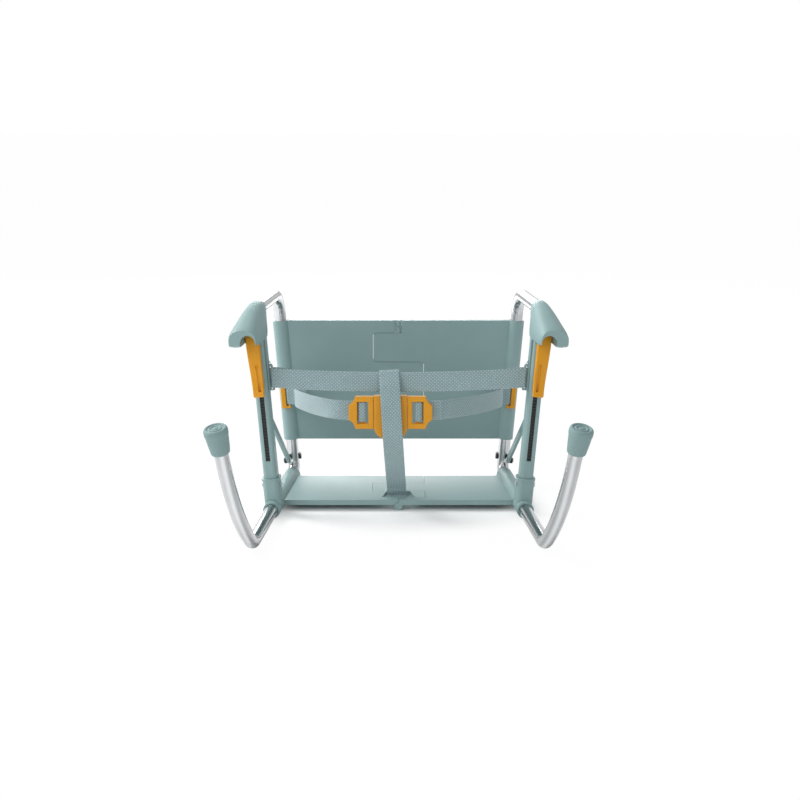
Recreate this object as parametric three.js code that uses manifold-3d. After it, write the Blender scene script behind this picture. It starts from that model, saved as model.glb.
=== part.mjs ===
// Hook-on table chair: a folding child's seat that clamps to a table edge.
// Millimetres, +Z up. -Y points towards the table, X runs across the seat.
// The origin is on the floor, below the middle of the chair. The pieces are drawn from the middle of
// the line through the two rear frame corners, and originSetback then moves the whole chair.
import * as THREE from "three";
import { mergeVertices } from "three/addons/utils/BufferGeometryUtils.js";
import Module from "manifold-3d";

const wasm = await Module();
wasm.setup();

// Driving sizes of the side frames
const tubeRadius = 9.5;
const tubeWall = 1.5;
const sleeveWall = 3;
const slip = 0.3;
const rearHalfSpacing = 169;
const splayForwardDegrees = 4.8;
const splayUpDegrees = 4.23;
const armrestHeight = 293;
const topBendRadius = 34;
const cornerBendRadius = 20;
const armrestEnd = 170;
const railEnd = 168;

// Driving sizes of the clamping legs
const postSetback = 184;
const postWidth = 20;
const postDepth = 24;
const postCornerRadius = 6;
const postWall = 2.4;
const postDrop = 35;
const postTop = armrestHeight - postDrop;
const postFoot = 23;
const clampTravel = 23;
const hookCorner = 336;
const hookBendRadius = 30;
const hookBendDegrees = 40.1;
const hookArcRadius = 205;
const hookEndDegrees = 77;
const hookTipLength = 62;
const hookLeanDegrees = 3;
const rackTooth = 4.6;
const rackWidth = 6;
const rackLow = 72;
const rackHigh = 228;

// Driving sizes of the seat and the backrest
const seatThickness = 8;
const seatRear = 42;
const seatFront = 168;
const seatHingeDrop = 6;
const seatKnuckleRadius = 6;
const seatPinRadius = 2;
const seatFingerRound = 2;
const backThickness = 8;
const backLow = 55.5;
const backHigh = 249;
const backKnuckleRadius = 4;
const backPinRadius = 1.1;
const backPinPlay = 1.8;
const backFingerRound = 5;
const fingerReach = 40;
const seam = 0.6;

// Driving sizes of the harness
const webWidth = 29;
const webThickness = 1.6;
const webLoopGap = 0.5;
const guardStrapDrop = 99;
const guardStrapHeight = armrestHeight - guardStrapDrop;
const guardStrapSag = 4;
const guardStrapBow = 6;
const buckleSetback = 197;
const buckleDrop = 48;
const buckleHeight = guardStrapHeight - buckleDrop;

// Shared allowances
const overrun = 5;
const circleSides = 20;
const tubeSides = 12;
const boreSides = 8;
const sleeveSides = 20;
const rivetSides = 12;

const railHeight = tubeRadius + sleeveWall;
const sleeveRadius = railHeight;
const boreRadius = tubeRadius + slip;
const splayForward = THREE.MathUtils.degToRad(splayForwardDegrees);
const splayUp = THREE.MathUtils.degToRad(splayUpDegrees);
const hookLean = THREE.MathUtils.degToRad(hookLeanDegrees);
const quarterTurn = Math.PI / 2;

const paint = (color, roughness, metalness = 0) => new THREE.MeshStandardMaterial({ color, roughness, metalness });
const finish = {
  aluminium: paint("#d9dadb", 0.22, 1),
  steel: paint("#b9bcbe", 0.3, 1),
  shell: paint("#86a3a4", 0.55),
  rubber: paint("#6d8788", 0.85),
  orange: paint("#e0941a", 0.45),
  black: paint("#17191a", 0.6),
  webbing: paint("#8b9fa1", 0.95),
};

// Solid modelling helpers
function bareCopy(geometry) {
  const copy = geometry.clone();
  copy.deleteAttribute("normal");
  copy.deleteAttribute("uv");
  return copy;
}

function solidOf(geometry) {
  const merged = mergeVertices(bareCopy(geometry), 1e-4);
  const vertProperties = new Float32Array(merged.attributes.position.array);
  const triVerts = new Uint32Array(merged.index.array);
  return new wasm.Manifold(new wasm.Mesh({ numProp: 3, vertProperties, triVerts }));
}

function geometryOf(solid) {
  const mesh = solid.getMesh();
  const geometry = new THREE.BufferGeometry();
  geometry.setAttribute("position", new THREE.BufferAttribute(new Float32Array(mesh.vertProperties), 3));
  geometry.setIndex(new THREE.BufferAttribute(new Uint32Array(mesh.triVerts), 1));
  return geometry;
}

function carve(base, { add = [], cut = [] }) {
  let solid = solidOf(base);
  for (const piece of add) solid = solid.add(solidOf(piece));
  for (const piece of cut) solid = solid.subtract(solidOf(piece));
  return geometryOf(solid);
}

function mirrored(geometry) {
  const copy = mergeVertices(bareCopy(geometry), 1e-4).applyMatrix4(new THREE.Matrix4().makeScale(-1, 1, 1));
  const index = copy.index.array;
  for (let i = 0; i < index.length; i += 3) [index[i], index[i + 1]] = [index[i + 1], index[i]];
  return copy;
}

function block(low, high) {
  const size = high.map((value, i) => value - low[i]);
  const middle = high.map((value, i) => (value + low[i]) / 2);
  return new THREE.BoxGeometry(...size).translate(...middle);
}

function rodAlongY(radius, from, to, x, z, sides = circleSides) {
  const length = Math.abs(to - from);
  return new THREE.CylinderGeometry(radius, radius, length, sides).translate(x, (from + to) / 2, z);
}

function rodAlongX(radius, from, to, y, z, sides = circleSides) {
  const rod = new THREE.CylinderGeometry(radius, radius, to - from, sides).rotateZ(quarterTurn);
  return rod.translate((from + to) / 2, y, z);
}

function rodAlongZ(radius, from, to, x, y, sides = circleSides) {
  const rod = new THREE.CylinderGeometry(radius, radius, to - from, sides).rotateX(quarterTurn);
  return rod.translate(x, y, (from + to) / 2);
}

function roundedOutline(width, depth, radius) {
  const [w, d] = [width / 2, depth / 2];
  const outline = new THREE.Shape();
  outline.moveTo(w, radius - d);
  outline.absarc(w - radius, d - radius, radius, 0, quarterTurn);
  outline.absarc(radius - w, d - radius, radius, quarterTurn, 2 * quarterTurn);
  outline.absarc(radius - w, radius - d, radius, 2 * quarterTurn, 3 * quarterTurn);
  outline.absarc(w - radius, radius - d, radius, 3 * quarterTurn, 4 * quarterTurn);
  return outline;
}

// A column with rounded corners: its outline lies in X and Y, its length runs up Z
function roundedColumn(width, depth, radius, low, high, y, wall = 0, curveSegments = 4) {
  const outline = roundedOutline(width, depth, radius);
  if (wall > 0) outline.holes.push(roundedOutline(width - 2 * wall, depth - 2 * wall, radius - wall));
  const options = { depth: high - low, bevelEnabled: false, curveSegments };
  return new THREE.ExtrudeGeometry(outline, options).translate(0, y, low);
}

// Turns a plate drawn as (forward, up) pairs, with its depth along Z, so that its depth runs inwards along X
const fromSideView = new THREE.Matrix4().makeBasis(
  new THREE.Vector3(0, -1, 0), new THREE.Vector3(0, 0, 1), new THREE.Vector3(-1, 0, 0),
);

// A plate drawn from the side and extruded across X from low to high
function sidePlate(outline, low, high, bevel = 0) {
  const options = { depth: high - low - 2 * bevel, bevelEnabled: bevel > 0, curveSegments: 6 };
  if (bevel > 0) Object.assign(options, { bevelSize: bevel, bevelThickness: bevel, bevelSegments: 1, bevelOffset: -bevel });
  const plate = new THREE.ExtrudeGeometry(outline, options).translate(0, 0, low + bevel);
  return plate.applyMatrix4(fromSideView).translate(low + high, 0, 0);
}

// A path through stations, which lie close together only where the tube bends
class StationPath extends THREE.Curve {
  constructor(stations) {
    super();
    this.stations = stations;
  }
  getPoint(t) {
    const place = THREE.MathUtils.clamp(t, 0, 1) * (this.stations.length - 1);
    const index = Math.min(Math.floor(place), this.stations.length - 2);
    return this.stations[index].clone().lerp(this.stations[index + 1], place - index);
  }
  getPointAt(t) { return this.getPoint(t); }
  getTangentAt(t) { return this.getTangent(t); }
  getSpacedPoints(count) { return this.getPoints(count); }
}

// Stations of a bend in the side plane, from one heading to another, at a steady radius
function bend(start, radius, fromAngle, toAngle, steps) {
  const turn = Math.sign(toAngle - fromAngle);
  const stations = [];
  for (let i = 1; i <= steps; i += 1) {
    const angle = fromAngle + (toAngle - fromAngle) * i / steps;
    const forward = turn * radius * (Math.sin(angle) - Math.sin(fromAngle));
    const up = turn * radius * (Math.cos(fromAngle) - Math.cos(angle));
    stations.push(new THREE.Vector3(0, start.y - forward, start.z + up));
  }
  return stations;
}

function circlePoints(radius, sides) {
  const angles = Array.from({ length: sides }, (_, i) => 2 * Math.PI * i / sides);
  return angles.map((angle) => new THREE.Vector2(radius * Math.cos(angle), radius * Math.sin(angle)));
}

function bentTube(stations) {
  const ring = new THREE.Shape(circlePoints(tubeRadius, tubeSides));
  ring.holes.push(new THREE.Path(circlePoints(tubeRadius - tubeWall, boreSides)));
  const path = new StationPath(stations);
  const options = { steps: stations.length - 1, extrudePath: path, bevelEnabled: false, curveSegments: 1 };
  return new THREE.ExtrudeGeometry(ring, options);
}

// Half-barrel rings, round above the waist and flat below it, skinned into one closed housing along Y
const crownPower = 0.85;
const solePower = 0.35;

function skinnedHousing(rings, sides) {
  const vertices = [];
  const faces = [];
  for (const { y, left, right, low, waist, high } of rings) {
    for (let i = 0; i < sides; i += 1) {
      const angle = 2 * Math.PI * i / sides;
      const power = Math.sin(angle) < 0 ? solePower : crownPower;
      const across = Math.sign(Math.cos(angle)) * Math.abs(Math.cos(angle)) ** power;
      const up = Math.abs(Math.sin(angle)) ** power;
      const height = Math.sin(angle) < 0 ? waist - up * (waist - low) : waist + up * (high - waist);
      vertices.push((left + right) / 2 + across * (right - left) / 2, y, height);
    }
  }
  for (let k = 0; k < rings.length - 1; k += 1) {
    for (let i = 0; i < sides; i += 1) {
      const [a, b] = [k * sides + i, k * sides + (i + 1) % sides];
      faces.push(a, b, b + sides, a, b + sides, a + sides);
    }
  }
  const lastRing = (rings.length - 1) * sides;
  for (let i = 1; i < sides - 1; i += 1) {
    faces.push(0, i + 1, i);
    faces.push(lastRing, lastRing + i, lastRing + i + 1);
  }
  const geometry = new THREE.BufferGeometry();
  geometry.setAttribute("position", new THREE.Float32BufferAttribute(vertices, 3));
  geometry.setIndex(faces);
  return geometry;
}

// Right side frame's place: turned out towards the front and leaned out towards the top
const sideTurn = new THREE.Euler(0, splayUp, splayForward, "ZYX");
const sideMatrix = new THREE.Matrix4().makeRotationFromEuler(sideTurn).setPosition(rearHalfSpacing, 0, railHeight);
const inWorld = (geometry) => geometry.applyMatrix4(sideMatrix);
const pointInWorld = (x, y, z) => new THREE.Vector3(x, y, z).applyMatrix4(sideMatrix);

// Side frame: one bent tube carries the armrest, the back upright and the seat rail
const topBendSteps = 7;
const cornerBendSteps = 6;

function frameTube() {
  const stations = [new THREE.Vector3(0, -armrestEnd, armrestHeight), new THREE.Vector3(0, -topBendRadius, armrestHeight)];
  for (let i = 1; i <= topBendSteps; i += 1) {
    const angle = quarterTurn * i / topBendSteps;
    const y = -topBendRadius + topBendRadius * Math.sin(angle);
    stations.push(new THREE.Vector3(0, y, armrestHeight - topBendRadius * (1 - Math.cos(angle))));
  }
  stations.push(new THREE.Vector3(0, 0, cornerBendRadius));
  for (let i = 1; i <= cornerBendSteps; i += 1) {
    const angle = quarterTurn * i / cornerBendSteps;
    const y = -cornerBendRadius * (1 - Math.cos(angle));
    stations.push(new THREE.Vector3(0, y, cornerBendRadius * (1 - Math.sin(angle))));
  }
  stations.push(new THREE.Vector3(0, -railEnd, 0));
  return bentTube(stations);
}

// Hook leg: runs forward under the table, bends up and rises in a long arc to its cap
const hookBend = THREE.MathUtils.degToRad(hookBendDegrees);
const hookEnd = THREE.MathUtils.degToRad(hookEndDegrees);
const hookSetIn = 3;
const hookStart = postSetback - hookSetIn;
const hookBendSteps = 5;
const hookArcSteps = 8;

function hookStations() {
  const stations = [new THREE.Vector3(0, -hookStart, 0), new THREE.Vector3(0, -hookCorner, 0)];
  stations.push(...bend(stations[1], hookBendRadius, 0, hookBend, hookBendSteps));
  stations.push(...bend(stations.at(-1), hookArcRadius, hookBend, hookEnd, hookArcSteps));
  const heading = new THREE.Vector3(0, -Math.cos(hookEnd), Math.sin(hookEnd));
  stations.push(stations.at(-1).clone().addScaledVector(heading, hookTipLength));
  return stations;
}

function hookTube() {
  return bentTube(hookStations()).rotateY(hookLean);
}

// Rubber cap that presses up against the underside of the table
const capLength = 36;
const capTopRadius = 15.6;
const capNeckRadius = 12;
const capEndWall = 7;
const capShoulder = 1.4;
const capShoulderDrop = 9;
const capLipWidth = 2;
const capRound = 1;
const capGrooveDepth = 1.2;
const capGrooveOuter = 9.6;
const capGrooveInner = 7.6;
const capSides = 20;

function hookCap() {
  const bore = capLength - capEndWall;
  const lip = capTopRadius - capLipWidth;
  const groove = capLength - capGrooveDepth;
  const profile = [
    [0, bore], [boreRadius, bore], [boreRadius, 0], [capNeckRadius - capRound, 0], [capNeckRadius, 2 * capRound],
    [capTopRadius - capShoulder, capLength - capShoulderDrop], [capTopRadius, capLength - capShoulderDrop + capRound],
    [capTopRadius, capLength - 3 * capRound], [lip, capLength - capRound], [lip - capLipWidth, capLength],
    [capGrooveOuter + capRound, capLength], [capGrooveOuter, groove], [capGrooveInner, groove],
    [capGrooveInner - capRound, capLength], [0, capLength],
  ].map(([radius, height]) => new THREE.Vector2(radius, height));
  const cap = new THREE.LatheGeometry(profile, capSides).rotateX(quarterTurn);
  const tip = hookStations().at(-1);
  const seat = bore - slip;
  cap.rotateX(quarterTurn - hookEnd);
  cap.translate(0, tip.y + seat * Math.cos(hookEnd), tip.z - seat * Math.sin(hookEnd));
  return cap.rotateY(hookLean);
}

// Post: an oval tube, slotted down the front to show the ratchet rack
const pinHeight = 34;
const pinRadius = 2.4;
const rivetRadius = 2;
const rackSlotWidth = rackWidth + 2 * slip;
const rackBaseWidth = 8.4;
const rackBaseDepth = 2;
const rackEnd = 2;
const rackRecess = 0.5;
const strutLift = 150;
const lugThickness = 4;
const lugHalfHeight = 8;
const lugReach = 13;
const lugHoleReach = 7.5;

function post() {
  const front = -postSetback - postDepth / 2;
  const back = -postSetback + postDepth / 2;
  const tube = roundedColumn(postWidth, postDepth, postCornerRadius, postFoot, postTop, -postSetback, postWall);
  const slotLow = [-rackSlotWidth / 2, front - overrun, rackLow - slip];
  const slot = block(slotLow, [rackSlotWidth / 2, front + postWall + overrun, rackHigh + slip]);
  const lugLow = [-lugThickness / 2, back - postWall / 2, strutLift - lugHalfHeight];
  const lug = block(lugLow, [lugThickness / 2, back + lugReach, strutLift + lugHalfHeight]);
  const lugHole = rodAlongX(rivetRadius + slip, -lugThickness, lugThickness, back + lugHoleReach, strutLift, rivetSides);
  const pinHole = rodAlongX(pinRadius + slip, -postWidth, postWidth, -postSetback, pinHeight, rivetSides);
  return carve(tube, { add: [lug], cut: [slot, pinHole, lugHole] });
}

// Rack: square teeth on a strip whose wider base lies behind the slot
const toothFlankShare = 0.08;
const toothCrestShare = 0.38;

function rack() {
  const front = postSetback + postDepth / 2;
  const root = front - postWall + slip / 2;
  const crest = front - rackRecess;
  const outline = new THREE.Shape();
  outline.moveTo(root, rackLow);
  const count = Math.floor((rackHigh - rackLow) / rackTooth);
  for (let i = 0; i < count; i += 1) {
    const low = rackLow + i * rackTooth;
    outline.lineTo(crest, low + rackTooth * toothFlankShare);
    outline.lineTo(crest, low + rackTooth * (toothFlankShare + toothCrestShare));
    outline.lineTo(root, low + rackTooth * (2 * toothFlankShare + toothCrestShare));
    outline.lineTo(root, low + rackTooth);
  }
  outline.lineTo(root - rackBaseDepth / 2, rackLow + count * rackTooth);
  outline.lineTo(root - rackBaseDepth / 2, rackLow);
  const teeth = sidePlate(outline, -rackWidth / 2, rackWidth / 2);
  const inner = postSetback + postDepth / 2 - postWall - slip;
  const baseLow = [-rackBaseWidth / 2, -inner, rackLow - rackEnd];
  const base = block(baseLow, [rackBaseWidth / 2, -inner + rackBaseDepth, rackHigh + rackEnd]);
  return carve(base, { add: [teeth] });
}

// Base fitting: a moulded socket for the post above a boss that grips the hook leg
const fittingWall = 2.2;
const fittingTop = 45;
const fittingLow = 6;
const fittingRim = 1;
const fittingRimHeight = 3;
const bossFront = 207;

function baseFitting() {
  const width = postWidth + 2 * (fittingWall + slip);
  const depth = postDepth + 2 * (fittingWall - slip);
  const collar = roundedColumn(width, depth, postCornerRadius + fittingWall, fittingLow, fittingTop, -postSetback);
  const back = -postSetback + depth / 2;
  const boss = rodAlongY(sleeveRadius, back, -bossFront, 0, 0, sleeveSides);
  const rim = roundedColumn(width + 2 * fittingRim, depth + fittingRim, postCornerRadius + fittingWall + fittingRim / 2,
    fittingTop - fittingRimHeight, fittingTop, -postSetback - fittingRim / 2);
  const socket = roundedColumn(postWidth + 2 * slip, postDepth + 2 * slip, postCornerRadius + slip,
    postFoot - slip, fittingTop + overrun, -postSetback);
  const bore = rodAlongY(boreRadius, -hookStart + slip, -bossFront - overrun, 0, 0, sleeveSides);
  const pinHole = rodAlongX(pinRadius + slip, -width, width, -postSetback, pinHeight, rivetSides);
  return carve(collar, { add: [boss, rim], cut: [socket, bore, pinHole] });
}

const pinHeadThickness = 1.6;
const pinHeadFlange = 2.4;
const pinPeenFlange = 1.6;

function fittingPin() {
  const reach = postWidth / 2 + fittingWall + 2 * slip;
  const tip = reach + pinHeadThickness;
  const shank = rodAlongX(pinRadius, -reach - pinHeadThickness / 2, reach + pinHeadThickness / 2, -postSetback, pinHeight, rivetSides);
  const outer = rodAlongX(pinRadius + pinHeadFlange, reach, tip, -postSetback, pinHeight, circleSides);
  const inner = rodAlongX(pinRadius + pinPeenFlange, -tip, -reach, -postSetback, pinHeight, circleSides);
  return carve(shank, { add: [outer, inner] });
}

// Brace from the post's back lug to a clip that slides on the back upright, open at the front
const ringClearance = 1;
const ringLow = cornerBendRadius + ringClearance;
const ringHeight = 8.5;
const ringHigh = ringLow + ringHeight;
const ringRadius = 13;
const ringMouth = 3.2;
const ringLugReach = 27;
const ringHoleInset = 5;
const braceThickness = 4;
const braceWidth = 11;
const braceFlange = 2;
const braceGrooveDepth = 1.5;
const braceInner = lugThickness / 2 + slip;
const braceOuter = braceInner + braceThickness;

function guideRing() {
  const lugInner = braceOuter + slip;
  const lugMiddle = lugInner + lugThickness / 2;
  const ring = rodAlongZ(ringRadius, ringLow, ringHigh, 0, 0, sleeveSides);
  const lug = block([lugInner, -ringLugReach, ringLow], [lugInner + lugThickness, 0, ringHigh]);
  const bore = rodAlongZ(boreRadius + slip / 2, ringLow - overrun, ringHigh + overrun, 0, 0, sleeveSides);
  const mouthLow = [-ringRadius - overrun, -ringLugReach - overrun, ringLow - overrun];
  const mouth = block(mouthLow, [lugInner, -ringMouth, ringHigh + overrun]);
  const hole = rodAlongX(rivetRadius + slip, lugMiddle - lugThickness, lugMiddle + lugThickness,
    -ringLugReach + ringHoleInset, (ringLow + ringHigh) / 2, rivetSides);
  return carve(ring, { add: [lug], cut: [bore, mouth, hole] });
}

const braceTop = new THREE.Vector2(postSetback - postDepth / 2 - lugHoleReach, strutLift);
const braceFoot = new THREE.Vector2(ringLugReach - ringHoleInset, (ringLow + ringHigh) / 2);

function brace() {
  const run = braceFoot.clone().sub(braceTop);
  const tilt = Math.atan2(run.y, run.x);
  const outline = new THREE.Shape();
  outline.absarc(0, 0, braceWidth / 2, quarterTurn, 3 * quarterTurn);
  outline.absarc(run.length(), 0, braceWidth / 2, -quarterTurn, quarterTurn);
  for (const place of [0, run.length()]) {
    outline.holes.push(new THREE.Path().absarc(place, 0, rivetRadius + slip, 0, 2 * Math.PI));
  }
  const web = braceWidth / 2 - braceFlange;
  const channel = new THREE.Shape();
  channel.moveTo(braceWidth, -web);
  channel.lineTo(run.length() - braceWidth, -web);
  channel.lineTo(run.length() - braceWidth, web);
  channel.lineTo(braceWidth, web);
  const place = (shape, from, to) => {
    const plate = new THREE.ExtrudeGeometry(shape, { depth: to - from, bevelEnabled: false, curveSegments: 8 });
    plate.rotateZ(tilt).translate(braceTop.x, braceTop.y, 0);
    return plate.applyMatrix4(fromSideView).translate(to, 0, 0);
  };
  const bar = place(outline, braceInner, braceOuter);
  const groove = place(channel, braceOuter - braceGrooveDepth, braceOuter + overrun);
  return carve(bar, { cut: [groove] });
}

const rivetHead = 1.4;
const rivetFlange = 1.8;

function braceRivet({ x, y }, inner, outer) {
  const shank = rodAlongX(rivetRadius, inner - rivetHead / 2, outer + rivetHead / 2, -x, y, rivetSides);
  const innerHead = rodAlongX(rivetRadius + rivetFlange, inner - rivetHead, inner, -x, y, rivetSides);
  const outerHead = rodAlongX(rivetRadius + rivetFlange, outer, outer + rivetHead, -x, y, rivetSides);
  return carve(shank, { add: [innerHead, outerHead] });
}

// Height of the head's flat sole, on which the lever, the bracket and the table pad depend
const headDrop = 43.4;
const headSole = armrestHeight - headDrop;

// Release lever's place in the head: it hangs from its pin in front of the rack
const leverPivotRise = 9.4;
const leverWidth = 20;
const leverFootWidth = 15.6;
const leverPivot = new THREE.Vector2(203, headSole + leverPivotRise);
const leverPinRadius = 2;
const leverLean = THREE.MathUtils.degToRad(2.1);
const leverCentre = 3.4;
const leverTop = 4.6;
const leverTopRound = 9;
const leverLength = 91.6;
const leverSideGap = 0.8;
const leverSwingGap = 2.2;
const leverBackGap = 7.5;
const leverGap = leverWidth / 2 + leverSideGap;

// Strap bracket's tongue, which runs up into the head beside the post
const bracketThickness = 2;
const bracketRise = 12.4;
const bracketTop = headSole + bracketRise;
const bracketDepth = 12;

// Head: a moulded nose that ends the armrest, guides the post and carries the table pad
const headBack = 158;
const headSocketSlip = 0.45;
const postHeadroom = 2;
const headSleeve = 11.4;
const headFall = armrestHeight - headSleeve - headSole;
const headRingShares = [
  { behind: 0, left: -11.4, right: 11.4, low: 0, waist: 0, high: 0 },
  { behind: 6, left: -12.2, right: 12.6, low: 0.3, waist: 0.09375, high: -0.01875 },
  { behind: 13, left: -13.6, right: 15, low: 0.8625, waist: 0.3125, high: 0 },
  { behind: 19, left: -14.4, right: 17.4, low: 1, waist: 0.5, high: 0.04375 },
  { behind: 28, left: -14.6, right: 20.4, low: 1, waist: 0.71875, high: 0.14375 },
  { behind: 38, left: -14.4, right: 23.6, low: 1, waist: 0.875, high: 0.275 },
  { behind: 50, left: -13.6, right: 27, low: 1, waist: 1, high: 0.4625 },
  { behind: 62, left: -12.4, right: 29.6, low: 1, waist: 1.08125, high: 0.65625 },
  { behind: 73, left: -11, right: 31, low: 1, waist: 1.125, high: 0.825 },
  { behind: 78, left: -10, right: 31, low: 0.98125, waist: 1.125, high: 0.9 },
  { behind: 80.5, left: -8.4, right: 29.4, low: 0.9375, waist: 1.125, high: 0.9625 },
];
const headRings = headRingShares.map(({ behind, left, right, low, waist, high }) => ({
  y: -headBack - behind, left, right,
  low: armrestHeight - headSleeve - headFall * low,
  waist: armrestHeight - headFall * waist,
  high: armrestHeight + headSleeve - headFall * high,
}));
const headSides = 20;
const padWidth = 10.6;
const padLength = 22;
const padThickness = 2.4;
const padBevel = 0.6;
const padCornerRadius = 3;
const padReach = 37.5;
const padInset = 6.5;
const padProud = 0.6;
const padPocketSlip = 0.3;
const padX = leverCentre + leverGap + padInset;

function head() {
  const front = headRings.at(-1).y - overrun;
  const below = headSole - 2 * overrun;
  const housing = skinnedHousing(headRings, headSides);
  const tubeBore = rodAlongY(boreRadius, -headBack + overrun, -armrestEnd - slip, 0, armrestHeight, sleeveSides);
  const socket = roundedColumn(postWidth + 2 * headSocketSlip, postDepth + 2 * headSocketSlip, postCornerRadius + slip,
    below, postTop + clampTravel + postHeadroom, -postSetback);
  const slotBack = -leverPivot.x + leverBackGap;
  const archHeight = leverPivot.y + leverTop + leverSwingGap - leverGap;
  const slot = block([leverCentre - leverGap, front, below], [leverCentre + leverGap, slotBack, archHeight]);
  const arch = rodAlongY(leverGap, slotBack, front, leverCentre, archHeight, sleeveSides);
  const pinHole = rodAlongX(leverPinRadius + slip / 2, leverCentre - pinReach - slip, leverCentre + pinReach + slip,
    -leverPivot.x, leverPivot.y, rivetSides);
  const tongueLow = [-postWidth / 2 - bracketThickness - 3 * slip, -postSetback - bracketDepth / 2 - slip, below];
  const tongue = block(tongueLow, [-postWidth / 2, -postSetback + bracketDepth / 2 + slip, bracketTop + slip]);
  const padPocket = roundedColumn(padWidth + 2 * padPocketSlip, padLength + 2 * padPocketSlip, padCornerRadius + padPocketSlip,
    below, headSole - padProud + padThickness + slip, -postSetback - padReach).translate(padX, 0, 0);
  return carve(housing, { cut: [tubeBore, socket, slot, arch, pinHole, tongue, padPocket] });
}

// Rubber pad set into the sole of the nose, which rests on the table top
function tablePad() {
  const outline = roundedOutline(padWidth, padLength, padCornerRadius);
  const options = {
    depth: padThickness - 2 * padBevel, bevelEnabled: true, bevelSize: padBevel, bevelThickness: padBevel,
    bevelOffset: -padBevel, bevelSegments: 1, curveSegments: 2,
  };
  const pad = new THREE.ExtrudeGeometry(outline, options);
  return pad.translate(padX, -postSetback - padReach, headSole - padProud + padBevel);
}

// Release lever: tapers to its foot, with a finger groove in front and a pawl behind
const pinWall = 2.6;
const pinReach = leverGap + pinWall;
const leverEdge = 1.2;
const grooveWidth = 4.2;
const grooveLength = 40;
const grooveDepth = 1.4;
const grooveDrop = 60;
const grooveOffset = 2.4;
const pawlDrop = 39;
const pawlLow = 1;
const pawlHigh = 1.4;
const pawlReach = 7.1;
const pawlInner = 4.2;
const pawlOuter = 0.9;

// The lever's side outline below its pin, as (forward, down) pairs
const leverOutline = {
  frontKnee: [9, 22], frontWaist: [7, 50], frontSwell: [6, 70], frontFoot: [11, 85],
  footRound: [10, 89], backFoot: [5, 87.5], backSwell: [-1.5, 66], backWaist: [-1.2, 30],
};

function taperedToFoot(geometry, top, foot, footShare) {
  const place = geometry.attributes.position;
  for (let i = 0; i < place.count; i += 1) {
    const down = (top - place.getZ(i)) / (top - foot);
    place.setX(i, place.getX(i) * (1 + (footShare - 1) * down));
  }
  return geometry;
}

function releaseLever() {
  const { x, y } = leverPivot;
  const at = ([forward, down]) => [x + forward, y - down];
  const { frontKnee, frontWaist, frontSwell, frontFoot, footRound, backFoot, backSwell, backWaist } = leverOutline;
  const lever = new THREE.Shape();
  lever.moveTo(x - leverTop, y);
  lever.absarc(x, y, leverTop, Math.PI, 0, true);
  lever.quadraticCurveTo(...at(frontKnee), ...at(frontWaist));
  lever.quadraticCurveTo(...at(frontSwell), ...at(frontFoot));
  lever.quadraticCurveTo(...at(footRound), ...at(backFoot));
  lever.quadraticCurveTo(...at(backSwell), ...at(backWaist));
  const side = sidePlate(lever, -leverWidth / 2, leverWidth / 2, leverEdge);
  const top = y + leverTop;
  const depth = leverLength / 2;
  const arched = roundedColumn(leverWidth, leverLength + 2 * leverTopRound, leverTopRound, -depth, depth, 0).rotateX(quarterTurn);
  arched.translate(0, -x, top - leverLength / 2 - leverTopRound);
  const blank = geometryOf(solidOf(side).intersect(solidOf(arched)));
  const tapered = taperedToFoot(blank, top, top - leverLength, leverFootWidth / leverWidth);
  const grooveFace = -x - leverOutline.frontWaist[0] + grooveDepth;
  const groove = roundedColumn(grooveWidth, grooveLength, grooveWidth / 2, 0, 2 * overrun, 0).rotateX(quarterTurn);
  groove.translate(-grooveOffset, grooveFace, y - grooveDrop);
  const pawl = block([-pawlInner, -x, y - pawlDrop - pawlLow], [pawlOuter, -x + pawlReach, y - pawlDrop + pawlHigh]);
  const turned = carve(tapered, { add: [pawl], cut: [groove] }).translate(0, x, -y).rotateY(leverLean);
  turned.translate(leverCentre, -x, y);
  const hole = rodAlongX(leverPinRadius + slip, leverCentre - leverWidth, leverCentre + leverWidth, -x, y, rivetSides);
  return carve(turned, { cut: [hole] });
}

function leverPin() {
  return rodAlongX(leverPinRadius, leverCentre - pinReach, leverCentre + pinReach, -leverPivot.x, leverPivot.y, rivetSides);
}

// Bracket: a tongue from the head down the inner side of the post, with a loop for the guard strap
const loopReach = 5.4;
const loopBar = 2;
const loopHalf = 2.5;
const loopMargin = 4;
const loopRoot = 0.5;
const earHeight = 9;
const earHole = 1.2;
const earHoleLift = 2.6;
const bracketInner = -postWidth / 2 - headSocketSlip;
const bracketOuter = bracketInner - bracketThickness;

function strapBracket() {
  const y = -postSetback;
  const low = guardStrapHeight - webWidth / 2 - loopMargin;
  const high = guardStrapHeight + webWidth / 2 + loopMargin;
  const tongue = block([bracketOuter, y - bracketDepth / 2, low], [bracketInner, y + bracketDepth / 2, bracketTop]);
  const frame = block([bracketOuter - loopReach, y - loopHalf, low], [bracketOuter + loopRoot, y + loopHalf, high]);
  const openingLow = [bracketOuter - loopReach + loopBar, y - overrun, low + loopBar];
  const opening = block(openingLow, [bracketOuter - loopRoot, y + overrun, high - loopBar]);
  const ear = new THREE.Shape();
  ear.moveTo(bracketOuter + loopRoot, high - loopRoot);
  ear.lineTo(bracketOuter - loopReach, high - loopRoot);
  ear.lineTo(bracketOuter + loopRoot, high + earHeight);
  const earHoleX = bracketOuter - loopBar;
  ear.holes.push(new THREE.Path().absarc(earHoleX, high + earHoleLift, earHole, 0, 2 * Math.PI));
  const earPlate = new THREE.ExtrudeGeometry(ear, { depth: loopBar, bevelEnabled: false, curveSegments: 8 });
  earPlate.rotateX(quarterTurn).translate(0, y + loopBar / 2, 0);
  return carve(tongue, { add: [frame, earPlate], cut: [opening] });
}

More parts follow.
